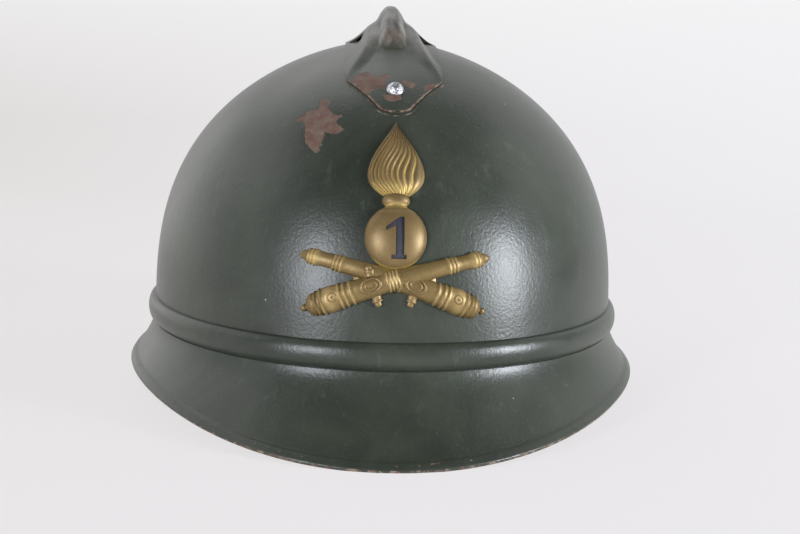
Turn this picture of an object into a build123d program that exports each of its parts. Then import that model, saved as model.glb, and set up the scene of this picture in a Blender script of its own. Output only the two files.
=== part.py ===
from build123d import *
import math
import os

# Pressed steel helmet of the 1915 pattern, in millimetres. The face looks along -Y, the wearer's left is +X,
# Z is up, and Z = 0 is the plane that the lowest edges of the visor and of the neck guard stand on.

# Shell
sheet = 0.7
half_width = 102.0
half_length = 120.0
seam_height = 28.0
dome_height = 122.6
dome_fullness = 2.76
dome_roundness = 1.71
collar_drop = 5.0
bead_height = 10.0
bead_proud = 3.0
bead_slices = 7
bead_round_share = 0.8
fit_gap = 0.15
overrun = 4.0
stretch = half_length / half_width
dome_top = seam_height + dome_height
crown_shares = (0.2, 0.38, 0.55, 0.7, 0.82, 0.91, 0.965)

# Brim
brim_reach = 26.7
brim_side_reach = 18.9
brim_reach_power = 1.35
brim_flare = 1.5
brim_side_rise = 10.8
brim_rise_power = 3.4
brim_joint_gap = 0.3
hem_width = 4.0
hem_proud = 0.6
rest_flat = 0.3
hem_fall_share = 0.85
brim_top_gap = 0.35
brim_sections = 15
depth_shares = (0.25, 0.5, 0.75)

# Crest
crest_half_length = 87.0
crest_rise = 13.7
crest_half_width = 19.5
crest_gap = 0.25
crest_corner_y = 60.0
plate_corner_y = 67.5
plate_corner_half = 18.5
plate_tip_y = 85.6
plate_tip_half = 5.7
vent_mouth_x = 15.4
vent_mouth_width = 5.2
vent_mouth_height = 5.0
vent_mouth_length = 1.4
vent_mouth_floor = 0.15
vent_slot_length = 64.0
vent_slot_width = 9.0

# Rivets
rivet_y = 76.6
rivet_head_radius = 3.4
rivet_head_height = 1.8
rivet_shank_radius = 1.5
rivet_tail_radius = 2.9
rivet_tail_height = 0.9
hole_gap = 0.06
seat_gap = 0.12

# Badge
badge_gap = 0.12
ball_radius = 11.0
ball_relief = 4.8
ball_height = 74.6
flame_tip_clearance = 4.2
flame_base_height = 88.4
flame_half_width = 10.1
flame_relief = 3.2
neck_radius = 3.9
collar_radius = 4.9
collar_ring = 1.5
neck_overlap = 3.0
saddle_radius = 3.0
cannon_radius = 4.85
cannon_relief = 3.5
cannon_lift = 0.1
front_cannon_lift = 1.0
cannon_half_span = 33.0
cannon_breech_height = 48.4
cannon_muzzle_height = 67.8
run_probe_share = 0.01
trunnion_radius = 1.7
trunnion_x = 5.7
trunnion_height = 52.0
trunnion_length = 6.0
numeral_height = 14.6
numeral_width = 6.6
numeral_stem = 3.6
numeral_foot = 1.6
numeral_foot_right = 0.75
numeral_flag = 1.6
numeral_depth = 0.5
prong_width = 4.0
prong_thickness = 0.5
prong_leg = 9.0
prong_gap = 0.3
prong_heights = (65.0, 98.0)
slit_gap = 0.15

# Liner
liner_gap = 11.0
leather = 1.8
band_bottom = 31.0
band_top = 56.0
crown_height = 122.0
tongue_count = 7
tongue_slit_above_band = 4.0
tongue_slit_half = 0.8
tongue_gap_half = 5.0
eyelet_radius = 2.2
lace_ring_margin = 6.2
eyelet_spacing = 8.4
felt = 2.4
felt_margin = 2.0
felt_gap = 0.2
lace_radius = 0.8
lace_swing = 2.7
lace_step = 2.6
lace_bend = 2.2
knot_radius = 2.2
lace_tail = 22.0
lace_tail_splay = 14.0

# Spacers and clips
spacer_sheet = 0.5
spacer_gap = 0.25
spacer_bottom = 32.0
spacer_top = 52.0
wave_flat = 4.6
wave_slope = 1.6
channel_half = 7.0
waves_each_side = 2
clip_sheet = 0.8
clip_width = 10.0
clip_top = 48.0
clip_hook = 8.0
clip_gap = 0.25
clip_below_band = 1.6

# Chinstrap and its fittings
wire_radius = 1.5
running_gap = 0.05
lug_sheet = 1.0
lug_width = 14.0
lug_eye_wall = 0.9
lug_gap = 0.25
lug_stand_off = 3.1
lug_top_gap = 0.8
pivot_height = 21.5
loop_inner_width = 16.0
loop_drop = 13.0
loop_bend = 3.0
strap_width = 11.0
strap_leather = 1.6
strap_gap = 0.3
strap_low = 2.4
strap_layer_gap = 0.7
strap_fold_tail = 17.0
strap_lead_in = 24.0
strap_tip_x = -58.0
strap_bend = 14.0
tight_turn_share = 0.98
slide_x = 18.0
slide_length = 9.0
slide_sheet = 0.8
slide_side_gap = 0.5
slide_face_gap = 0.4


def bowl_share(rise_share):
    """Radius of a bowl, as a share of its radius at the rim, at a share of its height."""
    return (1 - rise_share ** dome_fullness) ** (1 / dome_roundness)


def bowl_rise(radius_share):
    return (1 - radius_share ** dome_roundness) ** (1 / dome_fullness)


def dome_z(x, y, off=0.0):
    """Height of the skull's outer surface over a point in plan, with the surface moved out by off."""
    spread = math.hypot(x / (half_width + off), y / (half_length + off))
    return seam_height + (dome_height + off) * bowl_rise(spread)


def dome_front(x, z, off=0.0):
    """Point on the face side of the skull's outer surface, moved out by off."""
    level = bowl_share((z - seam_height) / (dome_height + off))
    depth = math.sqrt(level ** 2 - (x / (half_width + off)) ** 2)
    return Vector(x, -(half_length + off) * depth, z)


def wall_radius(z):
    """Inner radius of the skull's wall at the side."""
    return (half_width - sheet) * bowl_share((z - seam_height) / dome_height)


def seat(point):
    """Plane touching the skull at a point, Z outwards. On the face side its Y runs up the skull."""
    x, y, rise = point.X, point.Y, (point.Z - seam_height) / dome_height
    spread = math.hypot(x / half_width, y / half_length)
    flat = dome_roundness * spread ** (dome_roundness - 2)
    steep = dome_fullness * rise ** (dome_fullness - 1)
    normal = Vector(flat * x / half_width ** 2, flat * y / half_length ** 2, steep / dome_height).normalized()
    across = Vector(0, 1, 0) if abs(x) > abs(y) else Vector(1, 0, 0)
    return Plane(origin=point, x_dir=normal.cross(across).cross(normal), z_dir=normal)


def ellipse(radius, z):
    return Pos(0, 0, z) * Ellipse(radius, radius * stretch)


def oval_point(radius, angle, z=0.0):
    return Vector(radius * math.cos(angle), stretch * radius * math.sin(angle), z)


def crown_rows(radius, base, top):
    """Radius and height of the slices of a bowl whose crown is at top."""
    first = [(radius, base)]
    return first + [(radius * bowl_share(share), base + (top - base) * share) for share in crown_shares]


def skin(rows, apex=None):
    """Curved faces through oval slices, closed at an apex if one is given."""
    slices = [ellipse(radius, z) for radius, z in rows]
    if apex is not None:
        slices.append(Vertex(0, 0, apex))
    body = loft(slices, ruled=apex is None and len(rows) == 2)
    return [face for face in body.faces() if face.geom_type != GeomType.PLANE]


def ring(outer, inner, z):
    return list((ellipse(outer, z) - ellipse(inner, z)).faces())


def oval_band(outer, inner, bottom, top):
    outside = skin([(outer, bottom), (outer, top)])
    inside = skin([(inner, bottom), (inner, top)])
    return Solid(Shell(outside + inside + ring(outer, inner, bottom) + ring(outer, inner, top)))


def inset(points, wall):
    """The same run of points, moved to its right by a wall."""
    moved = []
    for index, point in enumerate(points):
        before, after = points[max(index - 1, 0)], points[min(index + 1, len(points) - 1)]
        run = (after - before).normalized()
        moved.append(point + Vector(run.Y, -run.X) * wall)
    return moved


def bead_rows(radius, proud, bottom, top):
    middle, half = (top + bottom) / 2, (top - bottom) / 2
    rows = []
    for step in range(bead_slices):
        turn = math.pi * step / (bead_slices - 1)
        rows.append((radius + proud * math.sin(turn) ** bead_round_share, middle - half * math.cos(turn)))
    return rows


def dome_rows(off):
    """Slices of the dome above the bead, moved out by off, without its apex."""
    radius = half_width + off
    rows = [(radius, seam_height + bead_height + off)]
    for share in crown_shares:
        rows.append((radius * bowl_share(share), seam_height + (dome_height + off) * share))
    return rows


def skull_skins(off):
    """Faces of one side of the sheet: collar, bead and dome."""
    radius = half_width + off
    low, high = seam_height - off, seam_height + bead_height + off
    collar = skin([(radius, seam_height - collar_drop), (radius, low)])
    return collar + skin(bead_rows(radius, bead_proud, low, high)) + skin(dome_rows(off), dome_top + off)


def rivet_points():
    return [Vector(0, side * rivet_y, dome_z(0, rivet_y)) for side in (-1, 1)]


def rivet_holes():
    hole = Cylinder(rivet_shank_radius + hole_gap, 2 * overrun)
    return [seat(point) * hole for point in rivet_points()]


def skull():
    rim = ring(half_width, half_width - sheet, seam_height - collar_drop)
    bowl = Solid(Shell(skull_skins(0) + skull_skins(-sheet) + rim))
    slot = SlotOverall(vent_slot_length, vent_slot_width, rotation=90)
    cutters = [Pos(0, 0, dome_top - 2 * overrun) * extrude(slot, 4 * overrun)] + rivet_holes()
    opening = Box(prong_width + 2 * slit_gap, prong_thickness + 2 * slit_gap, 2 * overrun)
    cutters += [seat(dome_front(0, height)) * opening for height in prong_heights]
    return bowl - cutters


def brim_section(angle):
    """Closed outline of the brim, square to the oval, at one angle round it."""
    foot = oval_point(half_width, angle, seam_height)
    out = Vector(math.cos(angle) * stretch, math.sin(angle), 0).normalized()
    frame = Plane(origin=foot, x_dir=out, z_dir=out.cross(Vector(0, 0, 1)))
    forward = abs(math.sin(angle))
    reach = brim_side_reach + (brim_reach - brim_side_reach) * forward ** brim_reach_power
    rise = brim_side_rise * (1 - forward ** brim_rise_power)
    drop = seam_height - rise - (sheet + hem_proud) * hem_fall_share + rest_flat

    def face(depth):
        return Vector(fit_gap + sheet + reach * (depth / seam_height) ** brim_flare, -depth)

    def normal(depth):
        slope = reach * brim_flare / seam_height * (depth / seam_height) ** (brim_flare - 1)
        return Vector(1, slope).normalized()

    hem_depth = drop - hem_width * normal(drop).X
    depths = [brim_top_gap] + [hem_depth * share for share in depth_shares] + [hem_depth]
    outside = [face(depth) for depth in depths]
    inside = [face(depth) - normal(depth) * sheet for depth in depths]
    tip, square = face(drop), normal(drop)
    along = Vector(square.Y, -square.X)
    hem = [outside[-1] + square * hem_proud, tip + square * hem_proud]
    hem += [tip - square * (sheet / 2) + along * (hem_proud + sheet / 2)]
    hem += [tip - square * (sheet + hem_proud), inside[-1] - square * hem_proud]
    edges = [
        Line(inside[0], outside[0]),
        Spline(*outside),
        Line(outside[-1], hem[0]),
        Line(hem[0], hem[1]),
        ThreePointArc(hem[1], hem[2], hem[3]),
        Line(hem[3], hem[4]),
        Line(hem[4], inside[-1]),
        Spline(*reversed(inside)),
    ]
    return frame * make_face(edges)


def brim_half(side):
    """Half of the brim, from one side joint to the other: the visor in front, the neck guard behind."""
    start = brim_joint_gap / 2 / half_length
    sections = []
    for step in range(brim_sections):
        angle = start + (math.pi - 2 * start) * step / (brim_sections - 1)
        sections.append(brim_section(side * angle))
    room = 4 * half_length
    return loft(sections) & Pos(0, 0, room / 2) * Box(room, room, room)


# Columns across the crest, from its middle line to past its edge, as shares of its half width.
crest_column_shares = (0.00, 0.12, 0.24, 0.36, 0.54, 0.66, 0.80, 0.92, 1.10)

# Stations from the crest's middle to past its tip: place as a share of the half length, then the height
# over each column as shares of the rise. The vent mouths open between the third and the fourth.
vent_mouth_share = 0.232
crest_shares = (
    (0.000, 1.00, 0.96, 0.67, 0.52, 0.33, 0.22, 0.09, 0.00, 0.00),
    (0.180, 1.00, 0.96, 0.67, 0.52, 0.33, 0.22, 0.09, 0.00, 0.00),
    (0.230, 0.98, 0.94, 0.66, 0.51, 0.33, 0.22, 0.09, 0.00, 0.00),
    (0.234, 0.98, 0.94, 0.65, 0.50, 0.30, 0.04, 0.00, 0.00, 0.00),
    (0.300, 0.96, 0.90, 0.50, 0.42, 0.27, 0.03, 0.00, 0.00, 0.00),
    (0.410, 0.86, 0.79, 0.30, 0.32, 0.30, 0.10, 0.00, 0.00, 0.00),
    (0.470, 0.67, 0.60, 0.18, 0.24, 0.28, 0.14, 0.02, 0.00, 0.00),
    (0.520, 0.28, 0.26, 0.08, 0.14, 0.22, 0.15, 0.04, 0.00, 0.00),
    (0.535, 0.03, 0.03, 0.04, 0.12, 0.21, 0.15, 0.05, 0.00, 0.00),
    (0.600, 0.00, 0.00, 0.01, 0.05, 0.14, 0.14, 0.08, 0.01, 0.00),
    (0.680, 0.00, 0.00, 0.00, 0.00, 0.04, 0.08, 0.07, 0.03, 0.00),
    (0.760, 0.00, 0.00, 0.00, 0.00, 0.00, 0.01, 0.02, 0.01, 0.00),
    (0.850, 0.00, 0.00, 0.00, 0.00, 0.00, 0.00, 0.00, 0.00, 0.00),
    (0.930, 0.00, 0.00, 0.00, 0.00, 0.00, 0.00, 0.00, 0.00, 0.00),
    (1.020, 0.00, 0.00, 0.00, 0.00, 0.00, 0.00, 0.00, 0.00, 0.00),
)


def crest_section(row, side):
    along, heights = row[0], row[1:]
    y = side * along * crest_half_length
    slope = (dome_z(0, y + sheet) - dome_z(0, y - sheet)) / (2 * sheet)
    wall = sheet * math.hypot(1, slope)
    gap = crest_gap * math.hypot(1, slope)
    left = []
    for share, height in zip(reversed(crest_column_shares), reversed(heights)):
        x = share * crest_half_width
        left.append(Vector(-x, dome_z(x, y) + gap + wall + height * crest_rise))
    outer = left + [Vector(-point.X, point.Y) for point in reversed(left[:-1])]
    outline = outer + list(reversed(inset(outer, wall)))
    return Plane.XZ.offset(-y) * make_face(Polyline(*outline, close=True))


def crest_plan():
    """Outline of the crest seen from above: straight sides and two plates with slanted sides and round tips."""
    right = [(plate_tip_half, plate_tip_y), (plate_corner_half, plate_corner_y), (crest_half_width, crest_corner_y)]
    right += [(x, -y) for x, y in reversed(right)]
    left = [(-x, y) for x, y in reversed(right)]
    edges = [
        Polyline(*right),
        ThreePointArc(right[-1], (0, -crest_half_length), left[0]),
        Polyline(*left),
        ThreePointArc(left[-1], (0, crest_half_length), right[0]),
    ]
    return make_face(edges)


def vent_mouths():
    """Cutters of the four openings that face along the crest, under its raised shoulders."""
    lift = crest_gap + sheet + vent_mouth_floor + vent_mouth_height / 2
    cutter = Box(vent_mouth_width, vent_mouth_length, vent_mouth_height)
    mouths = []
    for side in (-1, 1):
        for end in (-1, 1):
            x, y = side * vent_mouth_x, end * vent_mouth_share * crest_half_length
            mouths.append(seat(Vector(x, y, dome_z(x, y))).offset(lift) * cutter)
    return mouths


def crest():
    sections = [crest_section(row, -1) for row in reversed(crest_shares)]
    sections += [crest_section(row, 1) for row in crest_shares[1:]]
    body = loft(sections, ruled=True) & extrude(crest_plan(), 2 * dome_top)
    return body - rivet_holes() - vent_mouths()


def crest_rivet(point):
    """Round-headed rivet through the crest and the skull, its tail spread inside."""
    head_base = crest_gap + sheet + seat_gap
    tail_top = -sheet - seat_gap
    tail_low = tail_top - rivet_tail_height
    round_radius = (rivet_head_radius ** 2 + rivet_head_height ** 2) / (2 * rivet_head_height)
    round_middle = math.sqrt(round_radius ** 2 - rivet_head_radius ** 2 / 4) - round_radius
    profile = make_face([
        Polyline(
            (0, head_base + rivet_head_height), (0, tail_low), (rivet_tail_radius, tail_low),
            (rivet_tail_radius, tail_top), (rivet_shank_radius, tail_top), (rivet_shank_radius, head_base),
            (rivet_head_radius, head_base),
        ),
        ThreePointArc(
            (rivet_head_radius, head_base),
            (rivet_head_radius / 2, head_base + rivet_head_height + round_middle),
            (0, head_base + rivet_head_height),
        ),
    ])
    return seat(point) * revolve(Plane.XZ * profile, Axis.Z)


def dome_body(off):
    return loft([ellipse(radius, z) for radius, z in dome_rows(off)] + [Vertex(0, 0, dome_top + off)])


# Place along a cannon from its breech knob to its muzzle and its radius there, as shares.
cannon_shares = (
    (0.000, 0.08), (0.010, 0.24), (0.024, 0.24), (0.036, 0.17), (0.044, 0.36), (0.060, 0.80), (0.070, 0.88),
    (0.082, 0.82), (0.094, 0.94), (0.107, 0.88), (0.120, 0.99), (0.132, 0.93), (0.160, 1.00), (0.205, 0.93),
    (0.215, 0.98), (0.227, 0.90), (0.239, 0.94), (0.255, 0.87), (0.272, 0.91), (0.285, 0.84), (0.450, 0.74),
    (0.462, 0.80), (0.474, 0.74), (0.487, 0.79), (0.496, 0.73), (0.507, 0.78), (0.516, 0.72), (0.527, 0.76),
    (0.538, 0.70), (0.765, 0.58), (0.777, 0.64), (0.787, 0.58), (0.797, 0.62), (0.806, 0.57), (0.815, 0.61),
    (0.826, 0.54), (0.890, 0.53), (0.925, 0.61), (0.952, 0.55), (0.966, 0.38), (0.985, 0.28), (1.000, 0.08),
)


def cannon(side, lift):
    """Field gun barrel bent to the skull, its breech low and its muzzle high on the other side."""
    start = (-side * cannon_half_span, cannon_breech_height)
    finish = (side * cannon_half_span, cannon_muzzle_height)

    def centre(share):
        x, z = [a + (b - a) * share for a, b in zip(start, finish)]
        return dome_front(x, z, lift)

    rings = []
    for share, radius in cannon_shares:
        run = (centre(min(share + run_probe_share, 1)) - centre(max(share - run_probe_share, 0))).normalized()
        across = run.cross(seat(centre(share)).z_dir).normalized()
        ring = Ellipse(radius * cannon_radius, radius * cannon_relief)
        rings.append(Plane(origin=centre(share), x_dir=across, z_dir=run) * ring)
    return loft(rings, ruled=True)


# Places up the flame, its half width and its depth, as shares.
flame_shares = (
    (0.00, 0.44, 0.55), (0.12, 0.78, 0.85), (0.31, 1.00, 1.00), (0.48, 0.90, 0.95), (0.68, 0.56, 0.75),
    (0.86, 0.24, 0.45), (1.00, 0.03, 0.15),
)


flame_tip_height = dome_z(0, crest_half_length) - flame_tip_clearance


def flame():
    rings = []
    for rise, width, depth in flame_shares:
        frame = seat(dome_front(0, flame_base_height + (flame_tip_height - flame_base_height) * rise))
        plane = Plane(origin=frame.origin, x_dir=frame.x_dir, z_dir=frame.y_dir)
        rings.append(plane * Ellipse(flame_half_width * width, flame_relief * depth))
    return loft(rings)


def numeral():
    """Outline of the figure 1, its middle at the origin."""
    top, low = numeral_height / 2, -numeral_height / 2
    stem_right = numeral_width / 2 - numeral_foot_right
    stem_left = stem_right - numeral_stem
    foot_top = low + numeral_foot
    return make_face(Polyline(
        (stem_right, top), (stem_right, foot_top), (numeral_width / 2, foot_top), (numeral_width / 2, low),
        (-numeral_width / 2, low), (-numeral_width / 2, foot_top), (stem_left, foot_top),
        (stem_left, top - numeral_stem), (-numeral_width / 2, top - numeral_stem - 2 * numeral_flag),
        (-numeral_width / 2, top - numeral_stem - numeral_flag), (stem_right - numeral_flag, top), close=True,
    ))


def ball():
    sphere_radius = (ball_radius ** 2 + ball_relief ** 2) / (2 * ball_relief)
    frame = seat(dome_front(0, ball_height)).offset(ball_relief - sphere_radius)
    skin_cut = Sphere(sphere_radius + overrun) - Sphere(sphere_radius - numeral_depth)
    stamp = extrude(numeral(), 2 * sphere_radius) & skin_cut
    return frame * (Sphere(sphere_radius) - stamp)


def rod(low, high, radius):
    """Round rod between two heights on the middle line of the face side."""
    start, end = dome_front(0, low), dome_front(0, high)
    frame = Plane(origin=start, x_dir=(1, 0, 0), z_dir=end - start)
    return frame * Cylinder(radius, (end - start).length, align=(Align.CENTER, Align.CENTER, Align.MIN))


def badge():
    """One brass pressing: flaming grenade over two crossed cannons."""
    pieces = [cannon(-1, cannon_lift), cannon(1, front_cannon_lift), flame()]
    ball_top = ball_height + ball_radius - neck_overlap
    crossing = (cannon_breech_height + cannon_muzzle_height) / 2
    pieces.append(rod(ball_top, flame_base_height + neck_overlap, neck_radius))
    pieces.append(rod(crossing, ball_height, saddle_radius))
    frame = seat(dome_front(0, flame_base_height))
    upright = Plane(origin=frame.origin, x_dir=frame.x_dir, z_dir=frame.y_dir)
    pieces.append(upright * Torus(collar_radius - collar_ring, collar_ring))
    for side in (-1, 1):
        frame = seat(dome_front(side * trunnion_x, trunnion_height)).offset(cannon_lift)
        upright = Plane(origin=frame.origin, x_dir=frame.x_dir, z_dir=frame.y_dir)
        pieces.append(upright * Cylinder(trunnion_radius, trunnion_length))
    body = ball()
    for piece in pieces:
        body += piece
    return body - dome_body(badge_gap)


def badge_prong(height):
    """Brass strip soldered behind the badge, through its slit and folded down inside."""
    front_wall = sheet * stretch
    depth = front_wall + seat_gap + prong_gap + prong_thickness
    through = Pos(0, 0, -depth / 2) * Box(prong_width, prong_thickness, depth)
    leg = Pos(0, 0, prong_thickness / 2 - depth) * Box(prong_width, prong_leg, prong_thickness)
    leg_place = dome_front(0, height - prong_leg / 2 * seat(dome_front(0, height)).y_dir.Z)
    return seat(dome_front(0, height)) * through + seat(leg_place) * leg


liner_radius = half_width - liner_gap
lace_ring_radius = liner_radius * bowl_share(crown_shares[-1]) + lace_ring_margin


def liner_z(radius):
    return band_top + (crown_height - band_top) * bowl_rise(radius / liner_radius)


def tongue_angles():
    return [math.pi / 2 + math.tau * (index + 0.5) / tongue_count for index in range(tongue_count)]


def slit(angle):
    """Cutter of the gap between two tongues, narrow at the band and wide at the crown."""
    root = oval_point(liner_radius + overrun, angle)
    tip = oval_point(liner_radius * bowl_share(crown_shares[-1]) - overrun, angle)
    side = (tip - root).normalized().cross(Vector(0, 0, 1))
    corners = [root + side * tongue_slit_half, tip + side * tongue_gap_half]
    corners += [tip - side * tongue_gap_half, root - side * tongue_slit_half]
    plan = make_face(Polyline(*corners, close=True))
    return Pos(0, 0, band_top + tongue_slit_above_band) * extrude(plan, crown_height)


def liner_leather():
    outside = crown_rows(liner_radius, band_top, crown_height)
    inside = crown_rows(liner_radius - leather, band_top, crown_height - leather)
    faces = skin([(liner_radius, band_bottom), (liner_radius, band_top)]) + skin(outside)
    faces += skin([(liner_radius - leather, band_bottom), (liner_radius - leather, band_top)]) + skin(inside)
    faces += ring(liner_radius, liner_radius - leather, band_bottom)
    rim_out, rim_in = outside[-1], inside[-1]
    rim = loft([ellipse(*rim_in), ellipse(*rim_out)], ruled=True)
    faces += [face for face in rim.faces() if face.geom_type != GeomType.PLANE]
    leather_bowl = Solid(Shell(faces))
    cutters = [slit(angle + math.pi / tongue_count) for angle in tongue_angles()]
    hole = Cylinder(eyelet_radius, 4 * overrun)
    turn = eyelet_spacing / 2 / lace_ring_radius
    for angle in tongue_angles():
        for side in (-1, 1):
            place = oval_point(lace_ring_radius, angle + side * turn, liner_z(lace_ring_radius))
            cutters.append(Pos(*place) * hole)
    return leather_bowl - cutters


def liner_drawstring():
    """Lace through the eyelets, over each gap and under each tongue, knotted at the back with two tails."""
    middle = liner_z(lace_ring_radius) - leather / 2
    spot, step = eyelet_spacing / 2 / lace_ring_radius, lace_step / 2 / lace_ring_radius
    points = []
    for angle in tongue_angles():
        for turn, rise in ((-spot - step, 1), (-spot + step, -1), (spot - step, -1), (spot + step, 1)):
            points.append(oval_point(lace_ring_radius, angle + turn, middle + rise * lace_swing))
    path = FilletPolyline(*points, radius=lace_bend, close=True)
    lace = sweep(Plane(origin=path @ 0, z_dir=path % 0) * Circle(lace_radius), path=path)
    knot_place = (points[0] + points[-1]) * 0.5
    lace += Pos(*knot_place) * Sphere(knot_radius)
    for side in (-1, 1):
        lean = Rot(0, side * lace_tail_splay, 0)
        tail = Cylinder(lace_radius, lace_tail, align=(Align.CENTER, Align.CENTER, Align.MAX))
        lace += Pos(*knot_place) * (lean * tail)
    return lace


felt_radius = liner_radius + felt_gap + felt


def liner_felt():
    return oval_band(felt_radius, liner_radius + felt_gap, band_bottom + felt_margin, band_top)


def spacer(middle):
    """Corrugated aluminium strip between the felt and the skull, with a channel at its middle for the clip."""
    low = felt_radius + spacer_gap + spacer_sheet
    high = wall_radius(spacer_top) - spacer_gap
    run = [(channel_half, low)]
    for _ in range(waves_each_side):
        for rise, flat in ((high, wave_flat), (low, wave_flat)):
            start = run[-1][0] + wave_slope
            run += [(start, rise), (start + flat, rise)]
    run = [(-along, radius) for along, radius in reversed(run)] + run
    outer = [oval_point(radius, middle + along / half_width) for along, radius in run]
    outline = outer + list(reversed(inset_inwards(outer, spacer_sheet)))
    plan = make_face(Polyline(*outline, close=True))
    return Pos(0, 0, spacer_bottom) * extrude(plan, spacer_top - spacer_bottom)


def inset_inwards(points, wall):
    moved = inset(points, wall)
    if moved[0].length < points[0].length:
        return moved
    return inset(points, -wall)


def liner_clip(middle):
    """Soft steel tab soldered to the skull, hooked under the spacer and up inside the leather band."""
    out = Vector(math.cos(middle), math.sin(middle), 0)
    spread = stretch if abs(out.Y) > abs(out.X) else 1
    wall = wall_radius(clip_top) * spread - clip_gap
    inner = (liner_radius - leather) * spread - clip_gap
    bottom, floor = band_bottom - clip_below_band, band_bottom - clip_below_band + clip_sheet
    outline = [
        (wall, clip_top), (wall, bottom), (inner - clip_sheet, bottom), (inner - clip_sheet, bottom + clip_hook),
        (inner, bottom + clip_hook), (inner, floor), (wall - clip_sheet, floor), (wall - clip_sheet, clip_top),
    ]
    frame = Plane(origin=(0, 0, 0), x_dir=out, z_dir=out.cross(Vector(0, 0, 1)))
    return extrude(frame * make_face(Polyline(*outline, close=True)), clip_width / 2, both=True)


pivot_x = half_width - sheet - lug_stand_off
bar_height = pivot_height - loop_drop


def strap_lug(side):
    """Steel strip soldered inside the collar, rolled into the eye that the wire loop swings in."""
    eye_radius = wire_radius + running_gap + lug_eye_wall
    plate_out = half_width - sheet - lug_gap
    plate_low, plate_high = pivot_height - eye_radius / 2, seam_height - lug_top_gap
    plate = Box(lug_sheet, lug_width, plate_high - plate_low)
    plate = Pos(plate_out - lug_sheet / 2, 0, (plate_low + plate_high) / 2) * plate
    turn = Pos(pivot_x, 0, pivot_height) * Rot(90, 0, 0)
    eye = turn * Cylinder(eye_radius, lug_width)
    bore = turn * Cylinder(wire_radius + running_gap, lug_width + overrun)
    body = plate + eye - bore
    return body if side > 0 else mirror(body, Plane.YZ)


def strap_loop(side):
    """Wire loop, its upper bar in the lug and its lower bar in the strap."""
    half = loop_inner_width / 2 + wire_radius
    corners = [(-half, pivot_height), (half, pivot_height), (half, bar_height), (-half, bar_height)]
    path = Plane.YZ.offset(side * pivot_x) * FilletPolyline(*corners, radius=loop_bend, close=True)
    return sweep(Plane(origin=path @ 0, z_dir=path % 0) * Circle(wire_radius), path=path)


def chinstrap():
    """One leather strap: folded round the right bar, across, through the left bar and back to its free tip."""
    turn = wire_radius + strap_gap + strap_leather / 2
    low, high = bar_height - turn, bar_height + turn
    upper = strap_low + strap_leather + strap_layer_gap
    flat_x = pivot_x - strap_lead_in
    fold_x = pivot_x - strap_fold_tail
    ease = (high - upper) * strap_fold_tail / strap_lead_in
    points = [
        (-fold_x, high - ease), (-pivot_x, high), (-pivot_x - turn, high), (-pivot_x - turn, low),
        (-pivot_x, low), (-flat_x, strap_low), (flat_x, strap_low), (pivot_x, low), (pivot_x + turn, low),
        (pivot_x + turn, high), (pivot_x, high), (flat_x, upper), (strap_tip_x, upper),
    ]
    tight = turn * tight_turn_share
    radii = [turn, tight, tight, turn, strap_bend, strap_bend, turn, tight, tight, turn, strap_bend]
    path = Plane.XZ * FilletPolyline(*points, radius=radii)
    print("chinstrap", round(path.length, 1), "mm long, tightest bend", round(tight, 2), "mm")
    start = Plane(origin=path @ 0, x_dir=(0, 1, 0), z_dir=path % 0)
    return sweep(start * Rectangle(strap_width, strap_leather), path=path)


def strap_slide():
    """Flat steel ring that holds the strap's two layers together and slides along them."""
    bottom = strap_low - strap_leather / 2 - slide_face_gap
    upper = strap_low + strap_leather + strap_layer_gap
    top = upper + strap_leather / 2 + slide_face_gap
    inner_width = strap_width + 2 * slide_side_gap
    outer = Box(slide_length, inner_width + 2 * slide_sheet, top - bottom + 2 * slide_sheet)
    outer = fillet(outer.edges().filter_by(Axis.X), slide_sheet)
    return Pos(slide_x, 0, (top + bottom) / 2) * (outer - Box(2 * slide_length, inner_width, top - bottom))


quarters = {"front": -math.pi / 2, "rear": math.pi / 2, "left": 0.0, "right": math.pi}

parts = {
    "skull": skull(),
    "front_visor": brim_half(-1),
    "rear_neck_guard": brim_half(1),
    "crest": crest(),
    "crest_rivets": Compound(children=[crest_rivet(point) for point in rivet_points()]),
    "badge": badge(),
    "badge_prongs": Compound(children=[badge_prong(height) for height in prong_heights]),
    "liner_leather": liner_leather(),
    "liner_drawstring": liner_drawstring(),
    "liner_felt": liner_felt(),
    "chinstrap": chinstrap(),
    "strap_slide": strap_slide(),
}
for name, middle in quarters.items():
    parts["spacer_" + name] = spacer(middle)
    parts["liner_clip_" + name] = liner_clip(middle)
for name, side in (("left", 1), ("right", -1)):
    parts["strap_lug_" + name] = strap_lug(side)
    parts["strap_loop_" + name] = strap_loop(side)

os.makedirs("parts", exist_ok=True)
for name, shape in parts.items():
    export_step(shape, "parts/" + name + ".step")
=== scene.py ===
import math

import bpy
from mathutils import Matrix, Vector


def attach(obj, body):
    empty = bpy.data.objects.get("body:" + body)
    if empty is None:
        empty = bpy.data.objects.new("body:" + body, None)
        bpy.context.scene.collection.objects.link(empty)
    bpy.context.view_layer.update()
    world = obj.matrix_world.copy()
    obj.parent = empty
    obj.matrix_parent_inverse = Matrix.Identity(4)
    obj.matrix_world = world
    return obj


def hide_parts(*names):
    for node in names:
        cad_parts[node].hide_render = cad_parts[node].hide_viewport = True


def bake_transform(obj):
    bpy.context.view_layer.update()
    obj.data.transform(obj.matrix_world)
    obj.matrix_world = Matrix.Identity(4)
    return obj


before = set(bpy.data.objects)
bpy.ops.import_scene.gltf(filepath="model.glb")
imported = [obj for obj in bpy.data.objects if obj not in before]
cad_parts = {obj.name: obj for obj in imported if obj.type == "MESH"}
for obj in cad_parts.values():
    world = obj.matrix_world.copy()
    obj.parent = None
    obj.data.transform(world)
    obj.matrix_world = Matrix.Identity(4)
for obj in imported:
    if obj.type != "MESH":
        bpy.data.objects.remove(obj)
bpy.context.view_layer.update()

# Stage, lamps and camera
# The helmet stands on a pale paper sweep in a pale room. Two tall soft lamps light it from the front, and wide
# weak panels from the sides and above. A dark cloth keeps the front of the paint dark between their reflections.
mm = 0.001


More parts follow.
